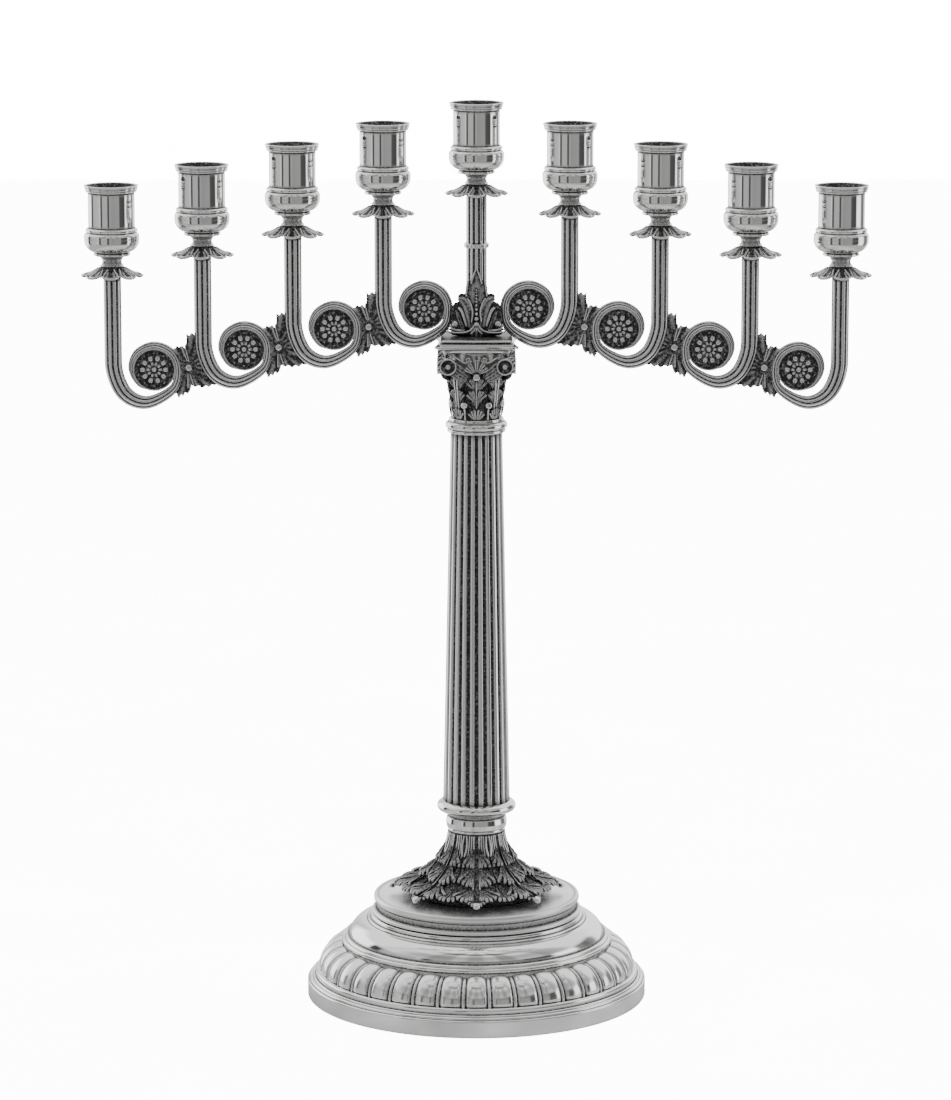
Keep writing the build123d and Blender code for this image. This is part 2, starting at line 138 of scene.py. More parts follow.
# ---- turned pieces ----------------------------------------------------------------------------
SHARP_TURN = 24               # degrees; a sharper corner of an outline is eased
LONG_RUN = 1.2                # mm; a longer run of an outline gets a point near each end
LONGEST_RUN = 3.2             # mm; a longer one gets two near each end
CLOSE_POINT = 0.25
FAR_POINT = 1.3


def bowed(start, end, bow, step=0.5):
    """Points after start up to end, on an arc that bows to the left of the way by bow."""
    start, end = np.array(start[:2], float), np.array(end[:2], float)
    chord = np.linalg.norm(end - start)
    if not bow:
        return [end]
    along = (end - start) / chord
    left = np.array([-along[1], along[0]])
    radius = chord ** 2 / (8 * bow) + bow / 2
    sweep = 4 * math.atan(2 * bow / chord)
    count = max(5, int(abs(radius * sweep) / step))
    angles = sweep * (np.arange(1, count + 1) / count - 0.5)
    return [start + along * (chord / 2 + radius * math.sin(a)) + left * (radius * math.cos(a) - radius + bow)
            for a in angles]


def outline(*stations, corner=0.22):
    """Closed outline through (radius, height, bow) stations with its sharp corners eased."""
    raw = []
    for start, end in zip(stations[-1:] + stations[:-1], stations):
        raw += bowed(start, end, end[2] if len(end) > 2 else 0)
    raw = np.array(raw)
    before, after = np.roll(raw, 1, axis=0), np.roll(raw, -1, axis=0)
    eased = []
    for point, back, front in zip(raw, before, after):
        to_back, to_front = back - point, front - point
        length_back, length_front = np.linalg.norm(to_back), np.linalg.norm(to_front)
        straight = -np.dot(to_back, to_front) / (length_back * length_front)
        if straight > math.cos(math.radians(SHARP_TURN)):
            eased.append(point)
            continue
        first = point + to_back / length_back * min(corner, 0.4 * length_back)
        last = point + to_front / length_front * min(corner, 0.4 * length_front)
        eased += [first, (first + last + 2 * point) / 4, last]
    dense = []
    for point, following in zip(eased, eased[1:] + eased[:1]):
        length = np.linalg.norm(following - point)
        dense.append(point)
        if length > LONG_RUN:
            inset = [CLOSE_POINT, FAR_POINT] if length > LONGEST_RUN else [CLOSE_POINT]
            dense += [point + (following - point) * way / length for way in inset]
            dense += [following + (point - following) * way / length for way in inset[::-1]]
    return np.array(dense)


def recess(line, reach=1.1, full=0.42):
    """How hollow a closed outline is at each of its points, judged over the reach on both sides."""
    nxt = np.roll(line, -1, axis=0)
    steps = np.linalg.norm(nxt - line, axis=1)
    place = np.concatenate([[0], np.cumsum(steps)])
    total = place[-1]
    closed = np.vstack([line, line[:1]])

    def at(distance):
        distance = np.mod(distance, total)
        return np.stack([np.interp(distance, place, closed[:, n]) for n in (0, 1)], 1)
    here = place[:-1]
    around_here = np.mean([at(here + reach * s) for s in (-1, -0.6, -0.3, 0.3, 0.6, 1)], axis=0)
    area = np.sum(line[:, 0] * nxt[:, 1] - nxt[:, 0] * line[:, 1])
    tangent = at(here + 0.2) - at(here - 0.2)
    normal = np.stack([tangent[:, 1], -tangent[:, 0]], 1) * math.copysign(1, area)
    normal /= np.linalg.norm(normal, axis=1)[:, None] + 1e-9
    return ease(np.sum((around_here - line) * normal, 1) / full)


def turned(*stations, steps=TURN_STEPS, full=0.42, floor=0.0):
    """Closed solid of revolution about +Z."""
    line = outline(*stations)
    points = round_points(line[:, 0], full_turn(steps)[:, None], line[:, 1])
    tarnish = np.maximum(recess(line, full=full), floor)
    return grid(points, np.broadcast_to(tarnish, (steps, len(line))), loop_u=True, loop_v=True).outward()


# ---- tubes ------------------------------------------------------------------------------------
ARM_REEDS = 10
STEM_REEDS = 12
REED_SAMPLES = 14             # points across one reed
REED_GROOVE = 0.16            # depth of a groove as a share of the radius
BEND_ROWS = 14                # rows between two stations of an arm's bend
STRAIGHT_ROWS = 11
STEM_ROWS = 14


def reeded_section(reeds):
    """Direction, reach and tarnish round a reeded section of unit radius, from mid reed round."""
    angle = full_turn(reeds * REED_SAMPLES)
    wave = np.abs(np.cos(reeds / 2 * (angle - math.pi / reeds)))
    reach = 1 - REED_GROOVE * wave ** 6
    return angle, reach, ease(wave ** 4 * 1.5 - 0.05)


def tube(line, widths, reeds):
    """Closed reeded tube along a line in the upright plane y = 0."""
    angle, reach, tarnish = reeded_section(reeds)
    across = np.array((0.0, 1.0, 0.0))
    tangent = np.gradient(line, axis=0)
    tangent /= np.linalg.norm(tangent, axis=1)[:, None]
    outer = np.cross(tangent, across)
    radius = widths[:, None, None] / 2 * reach[None, :, None]
    ring = np.cos(angle)[None, :, None] * outer[:, None, :] + np.sin(angle)[None, :, None] * across
    points = line[:, None, :] + radius * ring
    caps = [np.repeat(line[n][None, None, :], len(angle), axis=1) for n in (0, -1)]
    points = np.concatenate([caps[0], points, caps[1]])
    return grid(points, np.broadcast_to(tarnish, points.shape[:2]), loop_v=True).outward()


def smooth_line(stations, per_stretch):
    """Catmull-Rom curve through the stations, whatever they hold."""
    stations = np.array(stations, float)
    padded = np.vstack([2 * stations[0] - stations[1], stations, 2 * stations[-1] - stations[-2]])
    t = (np.arange(per_stretch) / per_stretch)[:, None]
    pieces = []
    for a, b, c, d in zip(padded[:-3], padded[1:-2], padded[2:-1], padded[3:]):
        pieces.append(0.5 * (2 * b + (c - a) * t + (2 * a - 5 * b + 4 * c - d) * t ** 2
                             + (3 * b - a - 3 * c + d) * t ** 3))
    return np.vstack(pieces + [stations[-1:]])


# ---- from shapes to pieces --------------------------------------------------------------------
def make_mesh(name, shape, material):
    """Blender mesh of a shape, with doubled points welded and the tarnish and painted shade kept on each point.
    """
    mesh = bpy.data.meshes.new(name)
    mesh.from_pydata((shape.points * MM).tolist(), [], shape.quads.tolist())
    layer = mesh.attributes.new("tarnish", "FLOAT", "POINT")
    layer.data.foreach_set("value", shape.tarnish.astype(np.float32))
    work = bmesh.new()
    work.from_mesh(mesh)
    bmesh.ops.remove_doubles(work, verts=work.verts, dist=0.002 * MM)
    bmesh.ops.dissolve_degenerate(work, edges=work.edges, dist=0.0005 * MM)
    work.to_mesh(mesh)
    work.free()
    mesh.shade_smooth()
    mesh.materials.append(material)
    return mesh


def piece(name, shape, body, nodes, material):
    """One piece of the object: its mesh, the body it rides on and the CAD nodes it stands for."""
    made = bpy.data.objects.new(name, make_mesh(name, shape, material))
    bpy.context.scene.collection.objects.link(made)
    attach(made, body)
    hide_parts(*nodes)


# ---- materials --------------------------------------------------------------------------------
class Graph:
    """Small helper for the node tree of a material or world."""

    def __init__(self, owner, shader="Principled BSDF"):
        owner.use_nodes = True
        self.owner = owner
        self.tree = owner.node_tree
        self.shader = self.tree.nodes[shader]

    def node(self, kind, inputs=None, **settings):
        made = self.tree.nodes.new("ShaderNode" + kind)
        for key, value in settings.items():
            setattr(made, key, value)
        for key, value in (inputs or {}).items():
            if isinstance(value, bpy.types.NodeSocket):
                self.tree.links.new(value, made.inputs[key])
            else:
                made.inputs[key].default_value = value
        return made

    def math(self, operation, first, second, clamp=False):
        made = self.node("Math", {0: first, 1: second}, operation=operation, use_clamp=clamp)
        return made.outputs[0]

    def noise(self, scale, detail, roughness, vector):
        inputs = {"Scale": scale, "Detail": detail, "Roughness": roughness, "Vector": vector}
        return self.node("TexNoise", inputs).outputs["Fac"]

    def span(self, value, low, high, to_low=0.0, to_high=1.0):
        inputs = {"Value": value, "From Min": low, "From Max": high, "To Min": to_low, "To Max": to_high}
        return self.node("MapRange", inputs).outputs["Result"]

    def mix(self, factor, first, second):
        made = self.node("Mix", {0: factor}, data_type="RGBA")
        for socket, value in ((made.inputs[6], first), (made.inputs[7], second)):
            if isinstance(value, bpy.types.NodeSocket):
                self.tree.links.new(value, socket)
            else:
                socket.default_value = value
        return made.outputs[2]

    def connect(self, value, socket):
        self.tree.links.new(value, self.shader.inputs[socket])


BRIGHT = (0.93, 0.925, 0.915, 1)
SMEARED = (0.86, 0.86, 0.855, 1)
# black of the sulphide in the hollows, also laid on as painted shade
SULPHIDE_AND_SHADE_BLACK = (0.012, 0.012, 0.013, 1)


def silver(name, polish, bloom, dents):
    """Polished silver: hairline scratches, faint smears and dents, and black sulphide in the recesses, darkened
    further by the painted shade carried in the same attribute.
    """
    graph = Graph(bpy.data.materials.new(name))
    place = graph.node("TexCoord").outputs["Object"]
    sulphide_and_shade = graph.node("Attribute", attribute_name="tarnish").outputs["Fac"]
    mottle = graph.noise(900, 4, 0.6, place)
    spread = graph.span(mottle, 0.3, 0.7, 0.75, 1.25)
    dark = graph.math("MULTIPLY", sulphide_and_shade, spread, clamp=True)
    smear = graph.noise(60, 3, 0.5, place)
    tint = graph.mix(graph.span(smear, 0.35, 0.7), BRIGHT, SMEARED)
    graph.connect(graph.mix(dark, tint, SULPHIDE_AND_SHADE_BLACK), "Base Color")
    stretched = graph.node("Mapping", {"Vector": place, "Scale": (1500, 1500, 120)}).outputs[0]
    hairline = graph.noise(1.0, 2, 0.5, stretched)
    worn = graph.span(hairline, 0.4, 0.75, polish, polish + bloom)
    cloudy = graph.math("ADD", worn, graph.span(smear, 0.4, 0.75, 0.0, bloom))
    rough = graph.math("ADD", cloudy, graph.math("MULTIPLY", dark, 0.36), clamp=True)
    graph.connect(rough, "Roughness")
    graph.connect(graph.span(dark, 0.0, 1.0, 1.0, 0.35), "Metallic")
    height = graph.math("ADD", graph.math("MULTIPLY", graph.noise(240, 2, 0.4, place), dents),
                        graph.math("MULTIPLY", hairline, 0.006))
    height = graph.math("ADD", height, graph.math("MULTIPLY", graph.math("MULTIPLY", mottle, dark), 0.12))
    bump = graph.node("Bump", {"Height": height, "Strength": 0.35, "Distance": 0.0006})
    graph.connect(bump.outputs[0], "Normal")
    return graph.owner


POLISHED = silver("polished_silver", polish=0.035, bloom=0.03, dents=0.05)
REEDED = silver("reeded_silver", polish=0.07, bloom=0.05, dents=0.04)
SATIN = silver("satin_silver", polish=0.33, bloom=0.10, dents=0.04)
CARVED = silver("carved_silver", polish=0.13, bloom=0.08, dents=0.05)


def steel():
    graph = Graph(bpy.data.materials.new("fastener_steel"))
    place = graph.node("TexCoord").outputs["Object"]
    grime = graph.noise(400, 4, 0.6, place)
    graph.connect(graph.mix(grime, (0.30, 0.30, 0.31, 1), (0.52, 0.52, 0.53, 1)), "Base Color")
    graph.connect(graph.span(grime, 0.3, 0.7, 0.28, 0.5), "Roughness")
    graph.shader.inputs["Metallic"].default_value = 1.0
    return graph.owner


STEEL = steel()


# ---- foot and column: turned pieces -----------------------------------------------------------
FOOT_RADIUS = 89.0
DRUM_TOP = 54.6
SKIRT_TOP = 88.4
COLLAR_TOP = 104.6
SHAFT_TOP = 299.8
NECK_TOP = 307.3
ROD_HOLE = 3.3
COLUMN = "foot_and_column"


def foot_rim():
    return turned(
        (86.4, 0.0), (88.2, 0.0), (FOOT_RADIUS, 0.8, -0.2), (FOOT_RADIUS, 8.4), (88.2, 9.2, -0.2), (88.0, 9.2),
        (86.6, 10.6, -0.6), (86.2, 10.3), (85.2, 11.3, -0.5), (84.8, 11.0), (84.8, 12.8), (83.4, 14.4, -0.5),
        (80.0, 14.4), (80.0, 11.6), (86.4, 6.6, -1.2), full=0.2, steps=256)


def base_dome():
    return turned(
        (66.0, 26.2), (70.3, 26.2), (70.3, 29.2), (70.9, 30.2, -0.2), (69.6, 31.4, -0.5), (69.2, 31.2),
        (68.4, 32.8, -0.5), (67.2, 32.8), (66.6, 34.6), (57.2, 41.0, -1.7), (56.8, 42.0, -0.3), (55.6, 42.2),
        (55.6, 44.2, -0.3), (50.0, 44.8), (50.0, 42.8), (53.6, 41.0), (64.0, 33.0, 1.7), (66.0, 29.0),
        full=0.2, steps=256)


def drum_plate():
    return turned(
        (ROD_HOLE, DRUM_TOP - 2.0), (50.8, DRUM_TOP - 2.0), (50.8, 44.8), (54.4, 44.8), (54.4, 46.6, -0.5),
        (52.6, 47.2), (52.6, 50.2), (53.6, 51.4), (53.8, 53.4, -0.3), (53.0, 54.3, -0.2), (52.4, 54.1),
        (51.8, 53.9), (36.0, DRUM_TOP), (ROD_HOLE, DRUM_TOP), full=0.22, steps=256)


def column_foot_collar():
    return turned(
        (ROD_HOLE, SKIRT_TOP), (14.6, SKIRT_TOP), (14.6, 90.2, -0.5), (15.6, 90.4), (16.0, 93.0), (15.6, 95.8),
        (14.8, 96.2), (17.6, 99.0, 0.9), (19.0, 99.2), (19.0, COLLAR_TOP - 0.6, -1.6), (17.8, COLLAR_TOP),
        (ROD_HOLE, COLLAR_TOP), full=0.3)


def column_neck_ring():
    return turned(
        (ROD_HOLE, SHAFT_TOP), (14.6, SHAFT_TOP), (14.6, 301.6, -0.6), (15.2, 302.0), (15.2, 305.2, -0.9),
        (14.4, 305.6), (14.0, NECK_TOP), (ROD_HOLE, NECK_TOP), full=0.3)


FLUTES = 22
FLUTE_SAMPLES = 16
SHAFT_RADII = (17.5, 13.4)
SHAFT_WALL = 2.2
FLUTE_HALF = 0.26             # half width of a flute, as a share of the pitch
FLUTE_DEPTH = 0.075           # share of the radius
CROWN_DROP = 0.012


def column_shaft():
    """Tapering shaft: broad rounded ribs with narrow dark flutes, one of them facing the front."""
    angle = full_turn(FLUTES * FLUTE_SAMPLES)
    off_flute = np.abs((angle + math.pi / 2) * FLUTES / (2 * math.pi) % 1 - 0.5)     # 0.5 on a flute
    across = np.clip((0.5 - off_flute) / FLUTE_HALF, 0, 1)                           # 0 mid flute, 1 at its lip
    flute = np.sqrt(1 - across ** 2)
    crown = np.clip(off_flute / FLUTE_HALF, 0, 1) ** 2
    rows = np.concatenate([[0, 0.006, 0.014, 0.024], np.linspace(0.05, 0.95, 24), [0.976, 0.986, 0.994, 1]])
    rows = rows[:, None]
    outer = SHAFT_RADII[0] + (SHAFT_RADII[1] - SHAFT_RADII[0]) * rows
    radius = outer * (1 - FLUTE_DEPTH * flute - CROWN_DROP * crown)
    height = COLLAR_TOP + (SHAFT_TOP - COLLAR_TOP) * rows
    outside = round_points(radius, angle, height)
    inside = round_points(outer - SHAFT_WALL, angle, height)
    from_end = np.minimum(rows, 1 - rows) * (SHAFT_TOP - COLLAR_TOP)
    tarnish = np.maximum(ease(flute * 1.7 - 0.15), 0.75 * np.exp(-(from_end / 2.4) ** 2))
    wall = np.concatenate([outside, inside[::-1]])
    dark = np.concatenate([tarnish, np.full_like(tarnish, 0.6)])
    return grid(wall, dark, loop_u=True, loop_v=True).outward()


GADROONS = 38
GADROON_SAMPLES = 28
GADROON_FOOT = (83.2, 14.4)
GADROON_HEAD = (70.4, 28.6)
LOBE_HALF = 0.385             # half widths of a lobe and a rib, as shares of the pitch
RIB_HALF = 0.05


def gadroon_band():
    """Upright convex lobes, each two parted by a thin rib between two dark grooves."""
    line = np.array([GADROON_FOOT] + bowed(GADROON_FOOT, GADROON_HEAD, -3.6, step=0.6))
    along = np.linspace(0, 1, len(line))[:, None]
    tangent = np.gradient(line, axis=0)
    normal = np.stack([tangent[:, 1], -tangent[:, 0]], 1) / np.linalg.norm(tangent, axis=1)[:, None]
    angle = full_turn(GADROONS * GADROON_SAMPLES)
    pitches = (angle + math.pi / 2) * GADROONS / (2 * math.pi)
    off = np.abs((pitches + 0.5) % 1 - 0.5)[None, :]                                 # 0 mid lobe, 0.5 mid rib
    ends = np.clip(np.minimum(along, 1 - along) / 0.06, 0, 1)
    lobe = np.sqrt(np.clip(1 - (off / LOBE_HALF) ** 2, 0, 1)) * np.sqrt(1 - (1 - ends) ** 2)
    rib = np.sqrt(np.clip(1 - ((0.5 - off) / RIB_HALF) ** 2, 0, 1)) * np.ones_like(along)
    height = np.maximum(lobe ** 0.8 * 1.55, rib * 0.75) - 1.6
    surface = line[:, None, :] + normal[:, None, :] * height[..., None]
    outside = round_points(surface[..., 0], angle, surface[..., 1])
    inner = line - normal * 2.6
    inside = round_points(inner[:, :1], angle, np.clip(inner[:, 1:], GADROON_FOOT[1], GADROON_HEAD[1]))
    tarnish = ease(1.45 - np.maximum(lobe ** 0.8 * 1.6, rib * 1.15) * 1.5)
    wall = np.concatenate([outside, inside[::-1]])
    dark = np.concatenate([tarnish, np.full_like(tarnish, 0.5)])
    return grid(wall, dark, loop_u=True, loop_v=True).outward()


# ---- sockets, stems and arms ------------------------------------------------------------------
SHOULDER_DROP = 46.5
SOCKET_FOOT_DROP = 41.5
CANDLE_BORE = 11.3
CANDLE_BORE_DEPTH = 26.0
PEG_RADIUS = 3.0
PEG_HOLE = 3.05
PEG_LENGTH = 12.0
UPRIGHT_WIDTH = 9.1
STEM_WIDTH = 10.6
EYE_DROP = 95.6
EYE_OFFSET = 21.0
SCROLL = (
    (21.0, 4.0, 9.1), (15.9, -11.7, 8.5), (4.1, -17.1, 6.9), (-9.7, -10.0, 5.1), (-12.6, 0.5, 4.4),
    (-9.0, 9.1, 4.2), (0.0, 12.8, 3.9), (8.9, 8.9, 3.5), (12.1, 0.5, 2.6), (8.0, -7.9, 1.8),
    (0.6, -10.7, 0.9),
)
RIM_TOPS = {m["name"]: (m["pos_m"][0] / MM, m["pos_m"][2] / MM)
            for m in frame["record"]["mounts"] if m["name"].startswith("candle_bore")}
MIDDLE_TOP = RIM_TOPS["candle_bore_middle"][1]
RING = (395.4, 397.8)         # bottom and top of the ring on the middle stem
TENON_LENGTH = 10.0
TENON_RADIUS = 3.5
TENON_HOLE = 3.55


def socket():
    """Urn-shaped socket with its rim at height 0."""
    foot, peg_top = -SOCKET_FOOT_DROP, -SHOULDER_DROP + PEG_LENGTH + 1.0
    shape = turned(
        (PEG_HOLE, foot), (6.4, foot), (5.3, -38.4, 0.8), (7.4, -36.6, 0.5), (8.8, -36.4), (8.8, -34.8, -0.7),
        (9.4, -34.4), (14.1, -27.4, -1.6), (12.6, -24.2, -0.7), (12.6, -22.2, -0.8), (12.0, -21.8),
        (12.0, -4.0), (12.9, -3.5, 0.2), (13.1, -2.9, -0.2), (12.9, -2.7), (13.5, -2.3), (13.6, -0.9),
        (13.9, -0.5, -0.1),
        (13.6, 0.0, -0.2), (13.1, 0.0), (12.8, -0.5), (CANDLE_BORE, -3.4), (CANDLE_BORE, -CANDLE_BORE_DEPTH),
        (0, -CANDLE_BORE_DEPTH), (0, peg_top), (PEG_HOLE, peg_top), steps=128, full=0.24)
    radius = np.hypot(shape.points[:, 0], shape.points[:, 1])
    height = shape.points[:, 2]
    mouth = (height > -3.5) & (radius < 12.85 + 0.52 * (height + 0.5) + 0.03) & (height < -0.2)
    bore = (radius < CANDLE_BORE + 0.02) & (height > -CANDLE_BORE_DEPTH - 0.1)
    shape.tarnish = np.where(mouth | bore, 1.0, shape.tarnish)
    return shape


def stem_tube(bottom, top):
    """Stretch of the reeded middle stem, with a reed at the front."""
    rows = np.linspace(0, 1, STEM_ROWS)[:, None]
    line = np.concatenate([np.zeros((STEM_ROWS, 2)), bottom + (top - bottom) * rows], axis=1)
    return tube(line, np.full(STEM_ROWS, STEM_WIDTH), STEM_REEDS)


def peg(radius, bottom, top):
    return turned((0, bottom), (radius, bottom), (radius, top), (0, top), steps=48, floor=0.1)


def arm(x, top):
    """Reeded arm: straight under its socket, round the bend, tapering into the scroll."""
    shoulder = top - SHOULDER_DROP
    eye = np.array([x - EYE_OFFSET, top - EYE_DROP])
    lead = (SCROLL[1][0], 2 * SCROLL[0][1] - SCROLL[1][1], SCROLL[0][2])     # makes the curve leave upright
    curve = smooth_line((lead,) + SCROLL, BEND_ROWS)[BEND_ROWS:]
    rows = np.linspace(0, 1, STRAIGHT_ROWS + 1)[:-1]
    bend_top = eye[1] + curve[0, 1]
    straight = np.stack([np.full(STRAIGHT_ROWS, x), shoulder + (bend_top - shoulder) * rows,
                         np.full(STRAIGHT_ROWS, UPRIGHT_WIDTH)], 1)
    path = np.vstack([straight, np.column_stack([curve[:, :2] + eye, curve[:, 2]])])
    line = np.stack([path[:, 0], np.zeros(len(path)), path[:, 1]], 1)
    body = tube(line, path[:, 2], ARM_REEDS)
    return join([body, peg(PEG_RADIUS, shoulder, shoulder + PEG_LENGTH).moved(x=x)])


def middle_stems():
    """Lower stem, its ring and the upper stem with its tenon and peg."""
    low, high = RING
    shoulder = MIDDLE_TOP - SHOULDER_DROP
    lower = stem_tube(PLINTH[1], low)
    ring = turned((TENON_HOLE, low), (5.6, low), (6.4, low + 1.2, -0.5), (5.6, high, -0.5), (TENON_HOLE, high),
                  steps=96)
    upper = stem_tube(high, shoulder)
    tenon = peg(TENON_RADIUS, high - TENON_LENGTH, high)
    upper_peg = peg(PEG_RADIUS, shoulder, shoulder + PEG_LENGTH)
    piece("lower_middle_stem", lower, "arm_frame", ["lower_stem"], REEDED)
    piece("parting_ring", ring, "arm_frame", ["stem_ring"], POLISHED)
    piece("upper_middle_stem", join([upper, tenon, upper_peg]), "upper_stem", ["shamash_stem"],
          REEDED)


def column_pieces():
    made = (("foot_rim", foot_rim(), "polished_silver", POLISHED),
            ("gadroon_band", gadroon_band(), "carved_silver", CARVED),
            ("base_dome", base_dome(), "polished_silver", POLISHED),
            ("drum_plate", drum_plate(), "polished_silver", SATIN),
            ("column_foot_collar", column_foot_collar(), "polished_silver", POLISHED),
            ("column_shaft", column_shaft(), "reeded_silver", REEDED),
            ("column_neck_ring", column_neck_ring(), "polished_silver", POLISHED))
    for name, shape, slot, material in made:
        piece("silver_" + name, shape, COLUMN, [name], material)


def lights_and_arms():
    urn = socket()
    piece("middle_socket", urn.moved(z=MIDDLE_TOP), "middle_light", ["shamash_socket"],
          POLISHED)
    for side, sign in SIDES.items():
        for number in ARM_NUMBERS:
            x, top = RIM_TOPS[f"candle_bore_{side}_{number}"]
            piece(f"urn_socket_{side}_{number}", urn.moved(x=x, z=top), f"light_{side}_{number}",
                  [f"socket_{side}_{number}"], POLISHED)
            shape = arm(abs(x), top)
            piece(f"scroll_arm_{side}_{number}", shape if sign > 0 else shape.mirrored(), "arm_frame",
                  [f"arm_{side}_{number}"], REEDED)


# ---- carving: rounded fingers laid over a surface ---------------------------------------------
FINGER_SIDES = 12
FINGER_ROWS = 5               # rows between two stations
BALL_SIDES = 14
BALL_ROWS = 11
FAN_BEND = 1.7                # how late the fingers of a fan part
RAY_COUNT = 14
RAY_START = 0.04              # mm off the surface


def revolved(line):
    """Surface of revolution read as (arc from the front, way along the line, height above it)."""
    line = np.array(line, float)
    way = np.concatenate([[0], np.cumsum(np.linalg.norm(np.diff(line, axis=0), axis=1))])
    tangent = np.gradient(line, axis=0)
    normal = np.stack([tangent[:, 1], -tangent[:, 0]], 1) / np.linalg.norm(tangent, axis=1)[:, None]
    normal *= 1 if line[-1, 1] > line[0, 1] else -1

    def at(across, along, out):
        radius, height, lean, rise = (np.interp(along, way, values) for values in (*line.T, *normal.T))
        beyond = np.maximum(along - way[-1], 0)
        radius = radius + beyond * tangent[-1, 0] / np.linalg.norm(tangent[-1])
        angle = across / radius - math.pi / 2
        ring = radius + out * lean
        return round_points(ring, angle, height + out * rise), round_points(lean, angle, rise)
    return at


def front_plane(across, along, out):
    """Upright plane facing the front, read as (x, z, height above it)."""
    points = np.stack([across, -out, along], -1)
    return points, np.broadcast_to((0.0, -1.0, 0.0), points.shape)


def finger(surface, stations, rise=0.42, groove=0.0, tarnish=0.0, round_end=0.14, root_tarnish=0.0):
    """Closed rounded strip through (across, along, out, width) stations over a surface, with painted shade on its
    underside and sides.
    """
    path = smooth_line(stations, FINGER_ROWS)
    share = np.linspace(0, 1, len(path))
    line, up = surface(*path[:, :3].T)
    fall = np.clip((share - 1 + round_end) / round_end, 0, 1)
    width = np.maximum(path[:, 3], 0.05) * np.sqrt(np.clip(1 - fall ** 2, 0.0, 1))
    tangent = np.gradient(line, axis=0)
    tangent /= np.linalg.norm(tangent, axis=1)[:, None] + 1e-9
    side = np.cross(tangent, up)
    side /= np.linalg.norm(side, axis=1)[:, None] + 1e-9
    high = np.cross(side, tangent)
    angle = full_turn(FINGER_SIDES) + math.pi / 2
    dip = groove * np.exp(-(np.cos(angle) / 0.42) ** 2) * (np.sin(angle) > 0)
    ring = (np.cos(angle)[None, :, None] * side[:, None, :] / 2
            + (np.sin(angle) * (1 - dip) * rise)[None, :, None] * high[:, None, :])
    points = line[:, None, :] + ring * width[:, None, None]
    ends = [np.repeat(line[n][None, None, :], FINGER_SIDES, axis=1) for n in (0, -1)]
    # painted shade: the lower half and the sides of the strip darkened, the top left bright
    underside_shade = 0.95 * np.exp(-(np.clip(np.sin(angle), 0, 1) / 0.5) ** 2)
    dark = tarnish + dip * 1.8 + underside_shade + root_tarnish * (1 - share[:, None]) ** 0.8
    dark = np.pad(np.clip(dark, 0, 1), ((1, 1), (0, 0)), mode="edge")
    return grid(np.concatenate([ends[0], points, ends[1]]), dark, loop_v=True).outward()


def pair(surface, *stations, **looks):
    """The same finger on both sides of a leaf's middle."""
    return join([finger(surface, [(side * across, *rest) for across, *rest in stations], **looks)
                 for side in (1, -1)])


def ball(surface, across, along, out, radius, squash=1.0, dimple=0.0):
    """Bead standing on a surface, with a dimple in its crown if wanted."""
    (centre,), (up,) = surface(*(np.array([value], float) for value in (across, along, out)))
    polar = np.linspace(0, math.pi, BALL_ROWS)[:, None]
    turn = full_turn(BALL_SIDES)
    side = np.cross(up, (0, 0, 1.0))
    side /= np.linalg.norm(side) + 1e-9
    other = np.cross(side, up)
    lift = np.cos(polar) * squash - dimple * np.exp(-(polar / 0.4) ** 2)
    points = (centre + radius * (np.sin(polar) * np.cos(turn))[..., None] * side
              + radius * (np.sin(polar) * np.sin(turn))[..., None] * other
              + radius * (lift * np.ones(BALL_SIDES))[..., None] * up)
    dark = 1.2 * dimple * np.exp(-(polar / 0.3) ** 2)
    return grid(points, dark, loop_v=True).outward()


def fan(surface, root, tips, width, lift, groove=0.3, root_tarnish=0.95, blade=0.0):
    """Fingers that leave a rib together on both sides, rise to their tips and curl over at the ends."""
    fingers = []
    for side in (1, -1):
        for number, tip in enumerate(tips):
            reach = np.array(tip, float) - root
            size = width * (1 - 0.06 * number)
            shares = ((0.0, 0.25, 0.3), (0.35, 0.5, 0.5), (0.7, 0.9, 0.72), (0.9, 1.15, 0.84), (1.0, 0.75, 0.8))
            stations = [(side * (root[0] + reach[0] * share ** FAN_BEND), root[1] + reach[1] * share,
                         lift * height, size * wide) for share, height, wide in shares]
            fingers.append(finger(surface, stations, groove=groove, root_tarnish=root_tarnish))
        if blade:
            middle = np.mean(tips, axis=0)
            fingers.append(finger(surface, [
                (side * (root[0] + (middle[0] - root[0]) * share), root[1] + (middle[1] - root[1]) * share,
                 0.45 * lift * share, blade * (0.5 + 0.5 * share)) for share in (0.0, 0.4, 0.8, 1.0)],
                rise=0.16, tarnish=0.9))
    return join(fingers)


